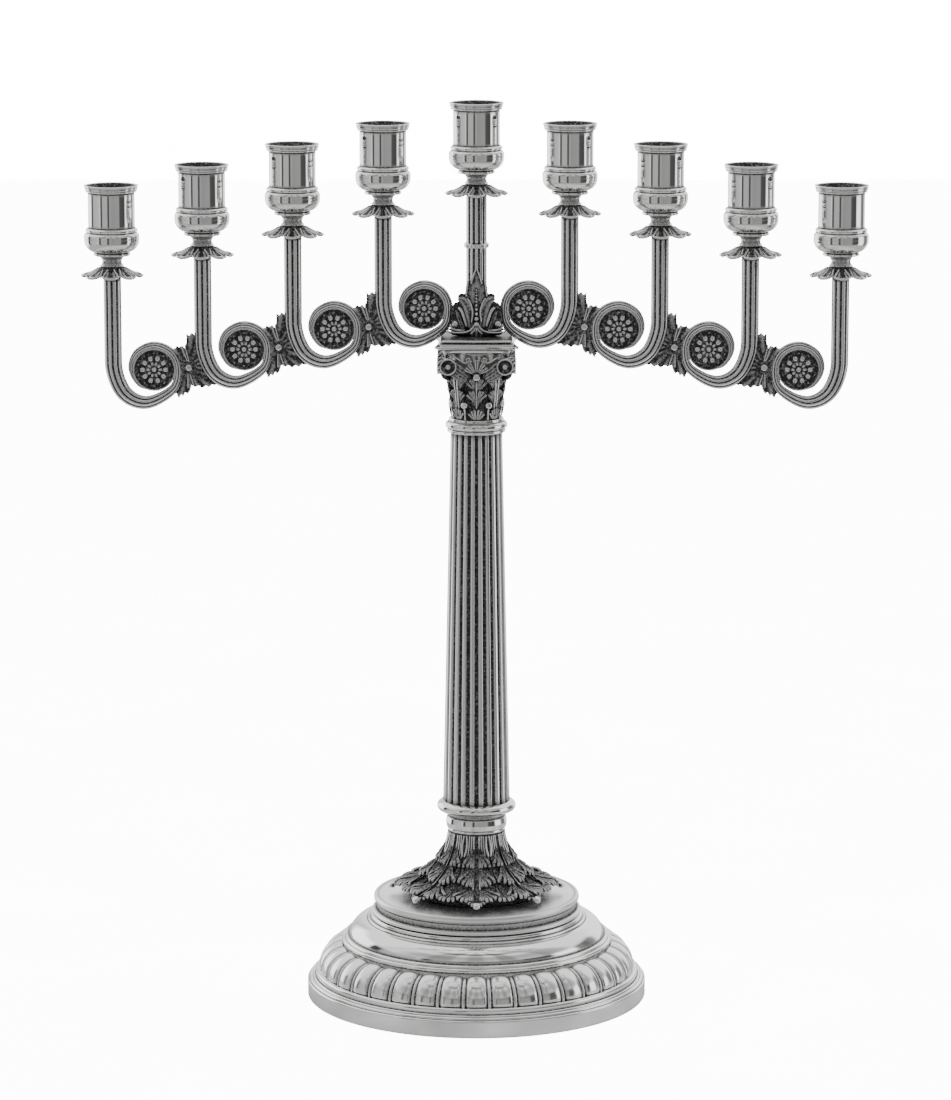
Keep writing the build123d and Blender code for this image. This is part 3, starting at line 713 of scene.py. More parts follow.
def blackened_and_shaded(shape, blockers, reach, gain):
    """The same shape darkened wherever the blockers close it in: ray-cast occlusion painted in as shade, standing
    also for the black sulphide of those hollows.
    """
    tree = BVHTree.FromPolygons(blockers.points.tolist(), blockers.quads.tolist())
    corner = shape.points[shape.quads]
    face = np.cross(corner[:, 2] - corner[:, 0], corner[:, 3] - corner[:, 1])
    normals = np.zeros_like(shape.points)
    for column in range(4):
        np.add.at(normals, shape.quads[:, column], face)
    normals /= np.linalg.norm(normals, axis=1)[:, None] + 1e-12
    number = np.arange(RAY_COUNT)
    rise = (number + 0.5) / RAY_COUNT
    swing = number * math.pi * (3 - math.sqrt(5))
    flat = np.sqrt(1 - rise ** 2)
    rays = np.stack([flat * np.cos(swing), flat * np.sin(swing), rise], 1)
    shade = np.zeros(len(shape.points))
    for index, (point, normal) in enumerate(zip(shape.points, normals)):
        axis = Vector(normal)
        if axis.length < 0.5:
            continue
        turn = axis.to_track_quat("Z", "X").to_matrix()
        start = Vector(point) + axis * RAY_START
        for ray, weight in zip(rays, rise):
            distance = tree.ray_cast(start, turn @ Vector(ray), reach)[3]
            if distance is not None:
                shade[index] += weight * (1 - distance / reach)
    shade *= gain * 2 / RAY_COUNT
    return Shape(shape.points, shape.quads, np.clip(shape.tarnish + shade, 0, 1))


# ---- acanthus skirt ---------------------------------------------------------------------------
SKIRT_LEAVES = 8
SKIRT_LINE = bowed((45.0, 57.4), (15.2, SKIRT_TOP), 7.8)[::-1] + [(47.0, 55.6), (48.0, 54.8)]


def skirt_leaf(surface):
    """Leaf down the skirt: a dark valley between two ribs, three tiers of toothed lobes and a beaded tip."""
    parts = []
    for side in (1, -1):
        parts.append(finger(surface, [(side * 1.3, 0, 0.5, 0.9), (side * 1.5, 14, 1.0, 1.0),
                                      (side * 1.9, 30, 1.4, 1.2), (side * 2.1, 43, 1.5, 1.3)]))
        for across in (2.3, 3.4):
            parts.append(finger(surface, [(side * across, 0, 0.4, 0.8), (side * across * 1.1, 6, 0.7, 0.9),
                                          (side * across * 1.35, 13, 0.8, 0.6)]))
    parts += [
        fan(surface, (1.3, 3.0), [(2.6, 17.8), (4.5, 17.4), (6.2, 15.4)], 2.1, lift=2.0),
        fan(surface, (1.5, 12.0), [(2.9, 30.2), (5.0, 30.4), (7.1, 29.0), (9.0, 26.4)], 2.3, lift=2.6),
        fan(surface, (1.8, 24.0), [(3.2, 43.6), (5.5, 44.4), (7.9, 43.8), (10.3, 42.2), (12.4, 39.2)], 2.7,
            lift=2.8),
        fan(surface, (0.4, 39.0), [(2.4, 46.6), (4.2, 45.4)], 1.8, lift=2.0),
        ball(surface, 0, 46.2, 1.5, 2.0, squash=0.85, dimple=0.15),
    ]
    return join(parts)


def skirt_gap_leaf(surface):
    """Narrow leaf between two main leaves: a slotted rib above and three small tiers below it."""
    return join([
        pair(surface, (0.7, 0, 0.6, 0.9), (1.2, 6, 1.0, 1.2), (0.5, 12, 1.1, 1.2)),
        fan(surface, (0.8, 6.0), [(1.2, 17.4), (2.9, 16.0)], 1.7, lift=1.5),
        fan(surface, (0.6, 16.0), [(1.3, 27.4), (3.2, 26.4), (4.8, 24.2)], 1.9, lift=2.0),
        fan(surface, (0.6, 28.0), [(1.4, 44.0), (3.8, 43.4), (5.8, 41.4)], 2.4, lift=2.4),
    ])


def acanthus_skirt():
    core = turned(
        (ROD_HOLE, DRUM_TOP), (32.0, DRUM_TOP), (12.6, SKIRT_TOP - 4.0, 6.6), (ROD_HOLE, SKIRT_TOP - 4.0),
        (ROD_HOLE, SKIRT_TOP), (15.0, SKIRT_TOP), (14.8, SKIRT_TOP - 1.3), (39.0, 58.6, -6.3),
        (34.0, DRUM_TOP), floor=0.97)
    surface = revolved([(radius - 0.9, height - 0.6) for radius, height in SKIRT_LINE])
    sector = join([skirt_leaf(surface), skirt_gap_leaf(surface).turned(180 / SKIRT_LEAVES)])
    blockers = join([sector.turned(turn * 360 / SKIRT_LEAVES) for turn in (-1, 0, 1)] + [core])
    # leaves darkened by painted occlusion shade on top of their sulphide
    return join([around(SKIRT_LEAVES, blackened_and_shaded(sector, blockers, reach=3.4, gain=1.9)), core])


# ---- capital, abacus and plinth ---------------------------------------------------------------
ABACUS = (342.2, 346.8)
ABACUS_HALF = 21.6
CAPITAL_BORE = 11.2
PLINTH = (346.8, 349.6)
PLINTH_HALF = 19.0
SLEEVE_HALF = 7.48
SIDE_STEPS = 24               # points along one side of a square plate
QUARTER_TURNS = [np.array([[math.cos(a), -math.sin(a)], [math.sin(a), math.cos(a)]])
                 for a in np.arange(4) * math.pi / 2]


def square_loop(hollow, corner):
    """Square of half width 1 with hollowed sides and bevelled corners, from the front round."""
    along = np.linspace(corner - 1, 1 - corner, SIDE_STEPS)
    inward = hollow * (1 - (along / (1 - corner)) ** 2)
    side = np.stack([along, inward - 1], 1)
    return np.vstack([side @ turn.T for turn in QUARTER_TURNS])


def stacked(loop, *stations):
    """Closed solid whose level sections are the loop, scaled along a closed (half width, height) outline."""
    line = outline(*stations, corner=0.18)
    points = np.empty((len(loop), len(line), 3))
    points[..., :2] = loop[:, None, :] * line[None, :, :1]
    points[..., 2] = line[:, 1]
    tarnish = recess(line, reach=0.9, full=0.16)
    return grid(points, np.broadcast_to(tarnish, points.shape[:2]), loop_u=True, loop_v=True).outward()


def abacus():
    low, high = ABACUS
    return stacked(
        square_loop(0.09, 0.14), (SLEEVE_HALF, low), (16.4, low), (16.8, low + 0.7), (17.2, low + 0.8),
        (20.6, high - 1.7, 0.9), (20.6, high - 1.5), (ABACUS_HALF, high - 1.2, -0.2), (ABACUS_HALF, high - 0.3),
        (21.2, high), (SLEEVE_HALF, high))


def plinth_block():
    """Stepped square block with its top darkened and dulled: painted shadow under the centre ornament."""
    low, high = PLINTH
    block = stacked(
        square_loop(0.0, 0.03), (0, low), (PLINTH_HALF, low), (PLINTH_HALF, low + 0.3), (18.4, low + 0.7, -0.2),
        (17.7, low + 0.9), (17.7, low + 1.6), (18.1, low + 1.9), (18.4, low + 2.3, -0.2), (18.0, high),
        (0, high))
    x, y, z = block.points.T
    # painted shadow: the top inside the outer step is darkened where the centre ornament's scrolls shade it
    shadowed_top = (z > high - 0.02) & (np.maximum(np.abs(x), np.abs(y)) < 17.95)
    block.tarnish = np.where(shadowed_top, 0.95, block.tarnish)
    return block


def volute(across, out):
    """Rolled end of a capital volute: dark dished disc with a bright rim, a beaded eye and a wavy edge."""
    edge = [(4.3, 0.6 - 0.5 * step) for step in range(7)]
    disc = turned(
        (0, -2.6), (0, 1.9), (1.2, 1.2, -0.4), (1.3, 0.5), (1.6, 0.4), (3.3, 0.6), (3.5, 1.5), (4.3, 1.6, -0.3),
        *edge, (4.1, -2.6), steps=96, full=0.3)
    x, y, z = disc.points.T
    radius = np.hypot(x, y)
    dished = (radius < 3.6) & (radius > 1.35) & (z > 0)
    disc.tarnish = np.where(dished, 0.95, disc.tarnish)
    wave = np.cos(9 * np.arctan2(y, x) + 1.7 * np.sin(1.9 * z))
    on_edge = (radius > 4.0) & (z < 0.8)
    disc.points[:, :2] *= np.where(on_edge, 0.95 + 0.06 * wave, 1.0)[:, None]
    disc.tarnish = np.where(on_edge, ease(0.5 - 2.0 * wave), disc.tarnish)
    return disc.turned(90, axis=0).moved(across, -out, 336.2)


def tendril(side, out):
    """Thin tendril beside the palmette that winds in to its centre."""
    share = np.linspace(0, 1, 12)
    angle = math.radians(200) + share * 1.2 * 2 * math.pi
    radius = 1.6 * (1 - 0.72 * share)
    across = side * (4.0 + radius * np.cos(angle))
    width = 0.7 * (1 - 0.35 * share)
    return finger(front_plane, np.stack([across, 339.4 + radius * np.sin(angle), 0 * share + out, width], 1))


BUD_HEIGHT = 8.0
BEAD_HEIGHT = 23.1
CAPITAL_LEAF = {"groove": 0.45, "root_tarnish": 0.3, "blade": 4.2}


def tuft(surface, tips):
    """Small leaf standing on the neck ring: fingers that spread to their tips from one root."""
    return join([pair(surface, (0.3 * reach, 0.3, 0.3, 0.6), (0.7 * reach, top * 0.6, 1.0, 1.0),
                      (reach, top, 1.7, 1.1), groove=0.4) for reach, top in tips])


def capital_face(surface):
    """Leaves, stems and buds on one face of the capital."""
    parts = [
        finger(surface, [(0, 6, 0.8, 0.9), (0, 14, 1.4, 0.9), (0, BEAD_HEIGHT - 2, 2.6, 1.1)], tarnish=0.25),
        fan(surface, (0.5, 7.6), [(1.7, 15.8), (3.2, 15.4), (4.6, 13.8)], 1.75, lift=1.6, **CAPITAL_LEAF),
        fan(surface, (0.5, 14.0), [(1.7, 22.2), (3.2, 21.8), (4.8, 20.2)], 1.75, lift=2.0, **CAPITAL_LEAF),
        ball(surface, 0, BEAD_HEIGHT, 3.4, 1.95, squash=0.8, dimple=0.25),
        tuft(surface, [(1.0, 6.2), (2.5, 5.4), (3.7, 3.8)]),
    ]
    for side in (1, -1):
        bud = side * 5.6
        parts += [
            finger(surface, [(bud, 0.2, 0.6, 1.1), (bud, 4.0, 1.2, 0.9), (bud, 7.0, 2.0, 1.2)]),
            ball(surface, bud, BUD_HEIGHT, 2.0, 1.85, squash=0.75, dimple=0.2),
        ]
    return join(parts)


def palmette():
    """Five-petalled palmette above the bead, with a curled tendril and a thin stalk at each side."""
    base, out = 331.2, 15.0
    petals = []
    for lean, length in ((0, 8.4), (31, 7.8), (-31, 7.8), (58, 7.2), (-58, 7.2)):
        reach = math.radians(lean)
        petals.append(finger(front_plane, [
            (share * length * math.sin(reach), base + share * length * math.cos(reach), out + rise, 1.9 * wide)
            for share, rise, wide in ((0.18, 0.2, 0.5), (0.5, 0.9, 0.9), (0.85, 1.4, 1.2), (1.0, 1.5, 1.0))],
            groove=0.6))
    stalks = pair(front_plane, (1.6, 335.8, out, 0.5), (3.6, 337.4, out + 0.6, 0.6), (6.4, 338.0, out + 1.2, 0.7),
                  (9.2, 339.8, out + 2.0, 0.9), (11.6, 341.2, out + 2.4, 0.9))
    return join(petals + [tendril(side, out + 1.0) for side in (1, -1)] + [stalks])


def volute_leaf(side):
    """Broad dark leaf that swells from the bell out to the underside of a volute."""
    strips = []
    for offset in range(4):
        strips.append(finger(front_plane, [
            (side * (2.6 + 0.5 * offset), 329.6 - 0.4 * offset, 13.6, 1.2),
            (side * (6.2 + 0.3 * offset), 333.3 - 1.5 * offset, 15.4, 2.6),
            (side * (10.0 + 0.3 * offset), 336.6 - 1.9 * offset, 16.8, 2.8),
            (side * 13.6, 339.6 - 2.1 * offset, 17.4, 2.4)], rise=0.6, tarnish=0.5, groove=0.2))
    return join(strips)


def corner_rib(surface):
    """Tall double rib and small leaves that climb a corner of the bell to carry the volutes."""
    return join([
        pair(surface, (0.8, 4.5, 0.8, 1.1), (0.7, 12, 1.4, 1.1), (0.9, 20, 2.0, 1.2), (1.4, 27, 3.2, 1.6)),
        finger(surface, [(0, 2, 0.0, 2.6), (0, 12, 0.3, 3.2), (0, 20, 0.8, 3.8), (0, 27, 1.6, 5.0)],
               tarnish=0.9),
        fan(surface, (0.9, 7.6), [(2.1, 15.8), (3.4, 15.2), (4.4, 13.6)], 1.6, lift=1.7, **CAPITAL_LEAF),
        fan(surface, (0.9, 14.0), [(2.1, 22.2), (3.4, 21.6), (4.5, 20.2)], 1.6, lift=2.1, **CAPITAL_LEAF),
        fan(surface, (1.1, 20.0), [(2.4, 27.0), (3.9, 26.4)], 1.6, lift=2.8, **CAPITAL_LEAF),
        tuft(surface, [(0.9, 6.4), (2.3, 5.6), (3.6, 4.0)]),
    ])


BELL_LINE = [(12.4, NECK_TOP), (12.6, 318.0), (13.0, 326.0)] + bowed((13.0, 326.0), (16.2, ABACUS[0]), 1.4)


def capital():
    """Bell with its leaves, and the volutes as a second shape."""
    surface = revolved(BELL_LINE)
    core = turned(
        (ROD_HOLE, NECK_TOP), (12.4, NECK_TOP), (13.0, 326.0, 0.4), (14.0, 334.6, 0.5), (14.0, 334.8),
        (16.2, ABACUS[0], 0.8), (CAPITAL_BORE, ABACUS[0]), (CAPITAL_BORE, NECK_TOP + 3.6),
        (ROD_HOLE, NECK_TOP + 3.6))
    lip = core.points[:, 2] > 334.7
    core.tarnish = np.where(lip & (np.hypot(*core.points[:, :2].T) > CAPITAL_BORE + 0.3), 0.3, 0.97)
    leaves = join([capital_face(surface), corner_rib(surface).turned(45)])
    scrolls = []
    for side in (1, -1):
        scrolls += [volute(side * 14.6, 18.8), volute_leaf(side)]
    volutes = join(scrolls + [palmette()])
    ring = join([around(4, leaves), around(4, volutes), core, abacus()])
    # leaves and volutes darkened by painted occlusion shade
    leaves = around(4, blackened_and_shaded(leaves, ring, reach=2.2, gain=1.25))
    volutes = around(4, blackened_and_shaded(volutes, ring, reach=2.2, gain=1.25))
    return join([core, leaves]), volutes


# ---- centre ornament --------------------------------------------------------------------------
VEIN_BEADS = ((374.2, 0.40), (372.9, 0.44), (371.4, 0.50), (369.8, 0.56), (368.1, 0.64), (366.2, 0.74),
              (364.1, 0.86), (361.8, 1.0), (359.2, 1.2), (356.3, 1.45))


def level_plane(across, along, out):
    """Level plane read as (x, height, y)."""
    return np.stack([across, out, along], -1), np.broadcast_to((0.0, 0.0, 1.0), (len(across), 3))


def centre_side(side, lift):
    """Lobes of the pointed leaf, the broad curled leaf and the scrolls on one side of the front."""
    def strip(*stations, **looks):
        return finger(front_plane, [(side * x, z, lift + out, width) for x, z, out, width in stations], **looks)
    return [
        strip((1.6, 360, -0.3, 2.4), (3.4, 368, 0.0, 4.2), (4.0, 374, 0.1, 3.2), (4.2, 379.2, 0.4, 0.6),
              rise=0.16, tarnish=0.6, groove=0.2, round_end=0.02),
        strip((2.4, 356, -0.4, 2.4), (4.2, 362, -0.3, 4.6), (5.2, 368, 0.0, 3.0), (5.6, 371.6, 0.2, 0.6),
              rise=0.2, tarnish=0.6, groove=0.2, round_end=0.02),
        strip((0.1, 385.0, 0.5, 0.7), (1.7, 381.2, 0.7, 0.9), (3.0, 376.8, 0.9, 0.8), rise=0.6),
        strip((4.2, 379.4, 0.7, 0.8), (4.9, 374.6, 0.7, 0.8), (5.4, 370.2, 0.6, 0.7), rise=0.6),
        strip((2.6, 357.0, 1.5, 0.6), (2.0, 363.0, 1.7, 0.8), (3.2, 367.6, 1.6, 0.8), (4.8, 370.2, 1.3, 0.7),
              rise=0.5),
        strip((2.9, 354.6, 0.4, 2.6), (3.2, 359.5, 0.8, 4.2), (4.0, 364.0, 1.0, 5.0), (5.6, 367.6, 0.9, 4.6),
              (7.8, 369.2, 0.5, 3.4), (9.6, 368.8, 0.0, 1.6), rise=0.2, tarnish=0.42, groove=0.3,
              round_end=0.05),
        strip((5.0, 355.0, 0.2, 1.2), (6.2, 359.6, 0.5, 1.6), (7.6, 363.4, 0.5, 1.7), (9.6, 365.2, 0.2, 1.2)),
        strip((6.8, 353.8, -0.4, 2.2), (8.4, 358.0, -0.6, 2.6), (9.6, 361.6, -0.8, 2.2),
              (10.6, 363.6, -1.0, 0.8), groove=0.3, tarnish=0.55, round_end=0.05),
        strip((3.0, 352.0, -2.0, 7.0), (6.8, 357.0, -2.0, 12.0), (8.0, 362.0, -2.0, 10.4),
              (8.0, 367.4, -2.0, 6.0), rise=0.08, tarnish=1.0),
        strip((0.8, 356.2, 0.8, 1.2), (2.6, 353.7, 1.0, 1.1), (5.6, 352.3, 0.6, 1.0), (10.4, 351.9, -0.1, 0.9),
              (14.2, 352.4, -0.8, 1.0), (15.0, 353.6, -0.9, 0.9)),
        strip((6.0, 353.2, -0.6, 1.4), (9.6, 353.0, -0.8, 1.6), (12.8, 354.2, -1.1, 1.5),
              (13.2, 356.6, -0.9, 1.3)),
        strip((0.3, 354.8, 1.0, 1.0), (1.6, 352.6, 1.0, 0.9), (3.4, 351.2, 0.8, 0.6)),
        ball(front_plane, side * 11.0, 356.4, lift - 0.7, 1.8, squash=1.0, dimple=0.2),
        # dark level slab under the lowest scrolls: painted shadow between the scrolls and the plinth
        finger(level_plane, [(side * 4.0, 351.4, 0, 8.6), (side * 7.0, 351.6, 0, 8.4),
                             (side * 10.6, 351.6, 0, 6.6), (side * 13.6, 351.4, 0, 4.0)],
               rise=0.28, tarnish=0.8),
    ]


def centre_leaves():
    """Pointed leaf with a beaded vein in front, curled leaves beside it, and the same again behind."""
    lift = 5.4
    blade = finger(front_plane, [
        (0, 354, lift - 0.6, 3.4), (0, 364, lift - 0.2, 7.4), (0, 372, lift - 0.1, 8.6),
        (0, 378, lift - 0.1, 6.8), (0, 382, lift - 0.1, 3.6), (0, 384.8, lift, 0.6)],
        rise=0.08, tarnish=0.62, round_end=0.02)
    beads = [ball(front_plane, 0, height, lift + 1.0, radius, dimple=0.15 if radius > 1 else 0)
             for height, radius in VEIN_BEADS]
    front = join([blade] + beads + centre_side(1, lift) + centre_side(-1, lift))
    # front darkened by painted occlusion shade
    front = blackened_and_shaded(front, join([front, stem_tube(PLINTH[1], 386.0), plinth_block()]), reach=2.2, gain=1.4)
    return join([front, front.turned(180)])


# ---- rosettes and leaf knots ------------------------------------------------------------------
ROSETTE_PETALS = 10
ROSETTE_RADIUS = 11.0
ROSETTE_STEPS = 200
EDGE_HALF = 1.05              # half thickness of a rosette at its edge


def bump(distance_a, distance_b, size_a, size_b):
    """Round-topped swelling, 1 at its middle and 0 at its edge."""
    return np.sqrt(np.clip(1 - (distance_a / size_a) ** 2 - (distance_b / size_b) ** 2, 0, 1))


def rosette():
    """Dished disc with a raised rim and a flower of ten double petals on each face."""
    rim_rows = (9.7, 9.95, 10.15, 10.4, 10.7, 10.9)
    radius = np.concatenate([np.linspace(0, 1.6, 7), np.linspace(1.9, 9.4, 26), rim_rows])
    turn = full_turn(ROSETTE_STEPS)
    r, a = np.meshgrid(radius, turn, indexing="ij")
    pitch = 2 * math.pi / ROSETTE_PETALS
    off = (a / pitch + 0.5) % 1 - 0.5
    across = off * pitch * r
    between = ((a / pitch) % 1 - 0.5) * pitch * r
    notch = 0.75 * np.exp(-(across / 0.35) ** 2) * ease((r - 6.2) / 1.2)
    dimple = 0.6 * np.exp(-((r - 6.1) / 0.5) ** 2 - (across / 0.42) ** 2)
    outer = bump(r - 6.05 + 0.5 * notch, across, 1.6, 1.32) * (1 - 0.6 * notch) * (1 - dimple)
    inner = bump(r - 3.1, across, 1.2, 0.78) * (1 - 0.4 * np.exp(-(across / 0.22) ** 2))
    boss = bump(r, 0 * r, 1.3, 1.0) * (1 - 0.6 * np.exp(-(r / 0.45) ** 2))
    dash = bump(r - 8.6, between, 0.34, 0.9)
    spoke = 0.3 * np.exp(-(between / 0.22) ** 2) * ease((r - 4.8) / 0.6) * ease((7.6 - r) / 0.6)
    rim = ease((r - 10.0) / 0.5)
    relief = np.max([outer, inner * 0.8, boss, dash * 0.45, spoke, rim * 0.95], axis=0)
    height = 0.35 + relief - 0.12 * ease((r - 10.6) / 0.3)
    polish = np.max([outer * 1.4, inner * 1.25, boss * 1.5, dash * 0.8, spoke * 1.4, rim * 0.9], axis=0)
    tarnish = ease(1.3 - polish)
    face = np.stack([r * np.cos(a), -height, r * np.sin(a)], -1)
    back = face * (1, -1, 1)
    edge = np.stack([ROSETTE_RADIUS * np.cos(turn), 0 * turn, ROSETTE_RADIUS * np.sin(turn)], -1)
    edges = np.stack([edge - (0, EDGE_HALF, 0), edge + (0, EDGE_HALF, 0)])
    points = np.concatenate([face, edges, back[::-1]])
    dark = np.concatenate([tarnish, np.zeros((2, len(turn))), tarnish[::-1]])
    return grid(points, dark, loop_v=True).outward()


KNOT_STEPS = 240
KNOT_MIDDLE = (17.7, 1.2)
KNOT_OUTLINE = (
    (16.8, 18.8), (18.2, 17.6), (19.4, 19.3), (21.0, 18.0), (23.0, 19.3), (23.2, 12.0), (24.6, 4.6),
    (26.8, -0.8), (29.2, -4.4), (32.6, -7.2), (31.0, -8.2), (29.8, -7.6), (28.2, -9.2), (26.6, -8.2),
    (24.6, -9.6), (23.0, -8.2), (21.0, -9.0), (19.2, -8.0), (18.2, -11.4), (17.0, -12.6), (15.9, -11.6),
    (14.9, -14.0), (13.9, -12.8), (12.6, -15.0), (11.4, -12.4), (9.9, -10.6), (11.4, -5.0), (12.2, 0.4),
    (11.4, 5.4), (9.6, 9.4), (9.4, 10.8), (11.0, 11.2), (11.6, 12.4), (13.0, 11.6), (14.6, 12.6),
    (16.0, 10.8), (16.2, 12.6), (15.8, 14.0), (17.0, 15.0),
)


def knot():
    """Back-to-back dark leaf fans with a bright knob, for a right arm; x and z are from the scroll's eye."""
    edge = np.array(KNOT_OUTLINE) - KNOT_MIDDLE
    angle = np.unwrap(np.arctan2(edge[:, 1], edge[:, 0]))
    order = np.argsort(-angle)
    turn = angle[0] - full_turn(KNOT_STEPS)
    reach = np.interp(-turn, np.append(-angle[order], -angle[0] + 2 * math.pi),
                      np.append(np.linalg.norm(edge, axis=1)[order], np.linalg.norm(edge[0])))
    share = np.linspace(0.04, 1, 16)[:, None]
    vein = np.cos(turn * 17) * ease((reach * share - 2.5) / 3)
    swell = 0.35 * ease((reach * share - 2.0) / 3) * (1 - share ** 4)
    half = 1.35 + swell + 0.26 * vein * (1 - share ** 6) - 0.75 * share ** 7
    across = KNOT_MIDDLE[0] + reach * share * np.cos(turn)
    up = KNOT_MIDDLE[1] + reach * share * np.sin(turn)
    face = np.stack([-across, -half, up], -1)
    back = face * (1, -1, 1)
    tarnish = np.clip(0.92 - 0.26 * vein * ease((share - 0.3) / 0.5) - 0.2 * ease((share - 0.9) / 0.08), 0, 1)
    centre = [np.broadcast_to((-KNOT_MIDDLE[0], y, KNOT_MIDDLE[1]), (1, len(turn), 3)) for y in (-1.2, 1.2)]
    points = np.concatenate([centre[0], face, back[::-1], centre[1]])
    dark = np.concatenate([tarnish[:1], tarnish, tarnish[::-1], tarnish[:1]])
    plate = grid(points, dark, loop_v=True).outward()
    parts = []
    for root, tip in (((17.3, 4.6), (14.2, 12.2)), ((18.1, 4.4), (16.2, 12.0)), ((17.5, -2.2), (17.4, -9.6)),
                      ((18.6, -2.4), (20.6, -8.4))):
        middle = (np.array(root) + tip) / 2
        parts.append(finger(front_plane, [(-root[0], root[1], 1.5, 0.5), (-middle[0], middle[1], 1.8, 0.75),
                                          (-tip[0], tip[1], 1.4, 0.5)]))
    half_trim = join(parts + [ball(front_plane, -17.9, 1.2, 1.3, 1.9, squash=0.75, dimple=0.25)])
    return join([plate, half_trim, half_trim.mirrored(axis=1)])


# ---- drip pans --------------------------------------------------------------------------------
PAN_RADIUS = 16.2
PAN_LOBES = 8
PAN_HUB_FOOT = -SHOULDER_DROP
PAN_TOP = -41.5
PAN_HUB = 5.6
PAN_VALLEY = 11.0             # radius of the edge where it dips beside a petal
PETAL_SAMPLES = 44            # points round one petal, and from hub to edge


def drip_pan():
    """Eight arched petals with doubled raised borders over small tips between them, and a dark underside."""
    turn = full_turn(PAN_LOBES * PETAL_SAMPLES)
    share = np.linspace(0, 1, PETAL_SAMPLES)[:, None]
    off = np.abs((turn / (2 * math.pi / PAN_LOBES) + 0.5) % 1 - 0.5)              # 0 mid petal, 0.5 between two
    petal = np.sqrt(np.clip(1 - (off / 0.46) ** 2, 0, 1)) ** 0.8
    tip = np.exp(-((0.5 - off) / 0.06) ** 2)
    edge = PAN_VALLEY + np.maximum((PAN_RADIUS - PAN_VALLEY - 0.1) * petal, 2.6 * tip)
    radius = PAN_HUB + (edge - PAN_HUB) * share
    width = 0.20 + 0.21 * np.sin(math.pi * np.clip(share * 0.66, 0, 1))
    on_petal = off < width + 0.045
    border = np.exp(-((off - width) / 0.056) ** 2) * ease((share - 0.12) / 0.1)
    lip = ease((share - 0.92) / 0.04) * on_petal
    second = np.exp(-((off - width * 0.50) / 0.045) ** 2) * ease((share - 0.25) / 0.15)
    second = second * ease((0.82 - share) / 0.07)
    second = np.maximum(second, np.exp(-((share - 0.79) / 0.045) ** 2) * (off < width * 0.55))
    raised = np.max([border, lip, second * 0.6, tip * ease((share - 0.8) / 0.1)], axis=0)
    gap = ease((off - width - 0.02) / 0.05) * ease((share - 0.1) / 0.15) * (1 - tip * ease((share - 0.8) / 0.1))
    fall = 0.3 + 6.0 * (radius - PAN_HUB) / (PAN_RADIUS - PAN_HUB) + 0.3 * np.sin(math.pi * share)
    curl = 0.8 * ease((share - 0.86) / 0.14) * petal
    drop = PAN_TOP - fall + curl
    top = round_points(radius, turn, drop + 0.7 * raised - 1.1 * gap)
    sunk = round_points(radius, turn, drop - 1.5 + 1.3 * share ** 3)
    above, below = np.array((PEG_HOLE, 6.2)), np.array((5.2, 5.0, PEG_HOLE))
    hub_top = round_points(above[:, None], turn, PAN_TOP)
    hub_foot = round_points(below[:, None], turn, PAN_HUB_FOOT + np.array((0.2, 0.0, 0.0))[:, None])
    rows = np.concatenate([hub_top, top, sunk[::-1], hub_foot])
    dark = ease(1.0 - 1.45 * raised + 0.9 * gap)
    under = np.where(share[::-1] > 0.985, 0.0, 0.8) * np.ones_like(dark)
    dark = np.concatenate([np.full((2, len(turn)), 0.4), dark, under, np.full((3, len(turn)), 0.4)])
    return grid(rows, dark, loop_u=True, loop_v=True).outward().turned(-90)


def carved_pieces():
    piece("leafy_skirt", acanthus_skirt(), COLUMN, ["acanthus_skirt"], CARVED)
    bell, volutes = capital()
    piece("leafy_capital", bell, COLUMN, ["capital_bell"], CARVED)
    piece("corner_volutes", volutes, COLUMN, ["capital_volutes"], CARVED)
    piece("moulded_abacus", abacus(), COLUMN, ["abacus"], POLISHED)
    piece("stepped_plinth", plinth_block(), "arm_frame", ["plinth_block"], POLISHED)
    piece("centre_ornament", centre_leaves(), "arm_frame", ["centre_leaves"], CARVED)
    flower, tie, pan = rosette(), knot(), drip_pan()
    piece("middle_drip_pan", pan.moved(z=MIDDLE_TOP), "middle_light", ["shamash_drip_pan"],
          CARVED)
    for side, sign in SIDES.items():
        eyes = []
        for number in ARM_NUMBERS:
            x, top = RIM_TOPS[f"candle_bore_{side}_{number}"]
            eye_x, eye_z = x - sign * EYE_OFFSET, top - EYE_DROP
            eyes.append(flower.moved(x=eye_x, z=eye_z))
            piece(f"leafy_pan_{side}_{number}", pan.moved(x=x, z=top), f"light_{side}_{number}",
                  [f"drip_pan_{side}_{number}"], CARVED)
            if number > 1:
                shape = tie if sign > 0 else tie.mirrored()
                piece(f"leafy_knot_{side}_{number}", shape.moved(x=eye_x, z=eye_z), "arm_frame",
                      [f"leaf_knot_{side}_{number}"], CARVED)
        piece(f"flower_rosettes_{side}", join(eyes), "arm_frame", [f"rosettes_{side}"], CARVED)


# ---- view, light and floor --------------------------------------------------------------------
CAMERA_PLACE = (-0.0005, -2.448, 0.6937)
CAMERA_TILT = 10.56           # degrees below the horizon
CAMERA_LENS = 156.86          # mm, on a 36 mm sensor
FLOOR_HALF = 4.0
TABLE_RADIUS = 0.5            # the part of the floor that polished metal reflects
BACKDROP_GLOW = 16.0


def camera():
    data = bpy.data.cameras.new("camera")
    data.sensor_fit = "AUTO"
    data.sensor_width = 36.0
    data.lens = CAMERA_LENS
    data.clip_end = 50.0
    made = bpy.data.objects.new("camera", data)
    made.location = CAMERA_PLACE
    made.rotation_euler = (math.radians(90 - CAMERA_TILT), 0, 0)
    bpy.context.scene.collection.objects.link(made)
    bpy.context.scene.camera = made


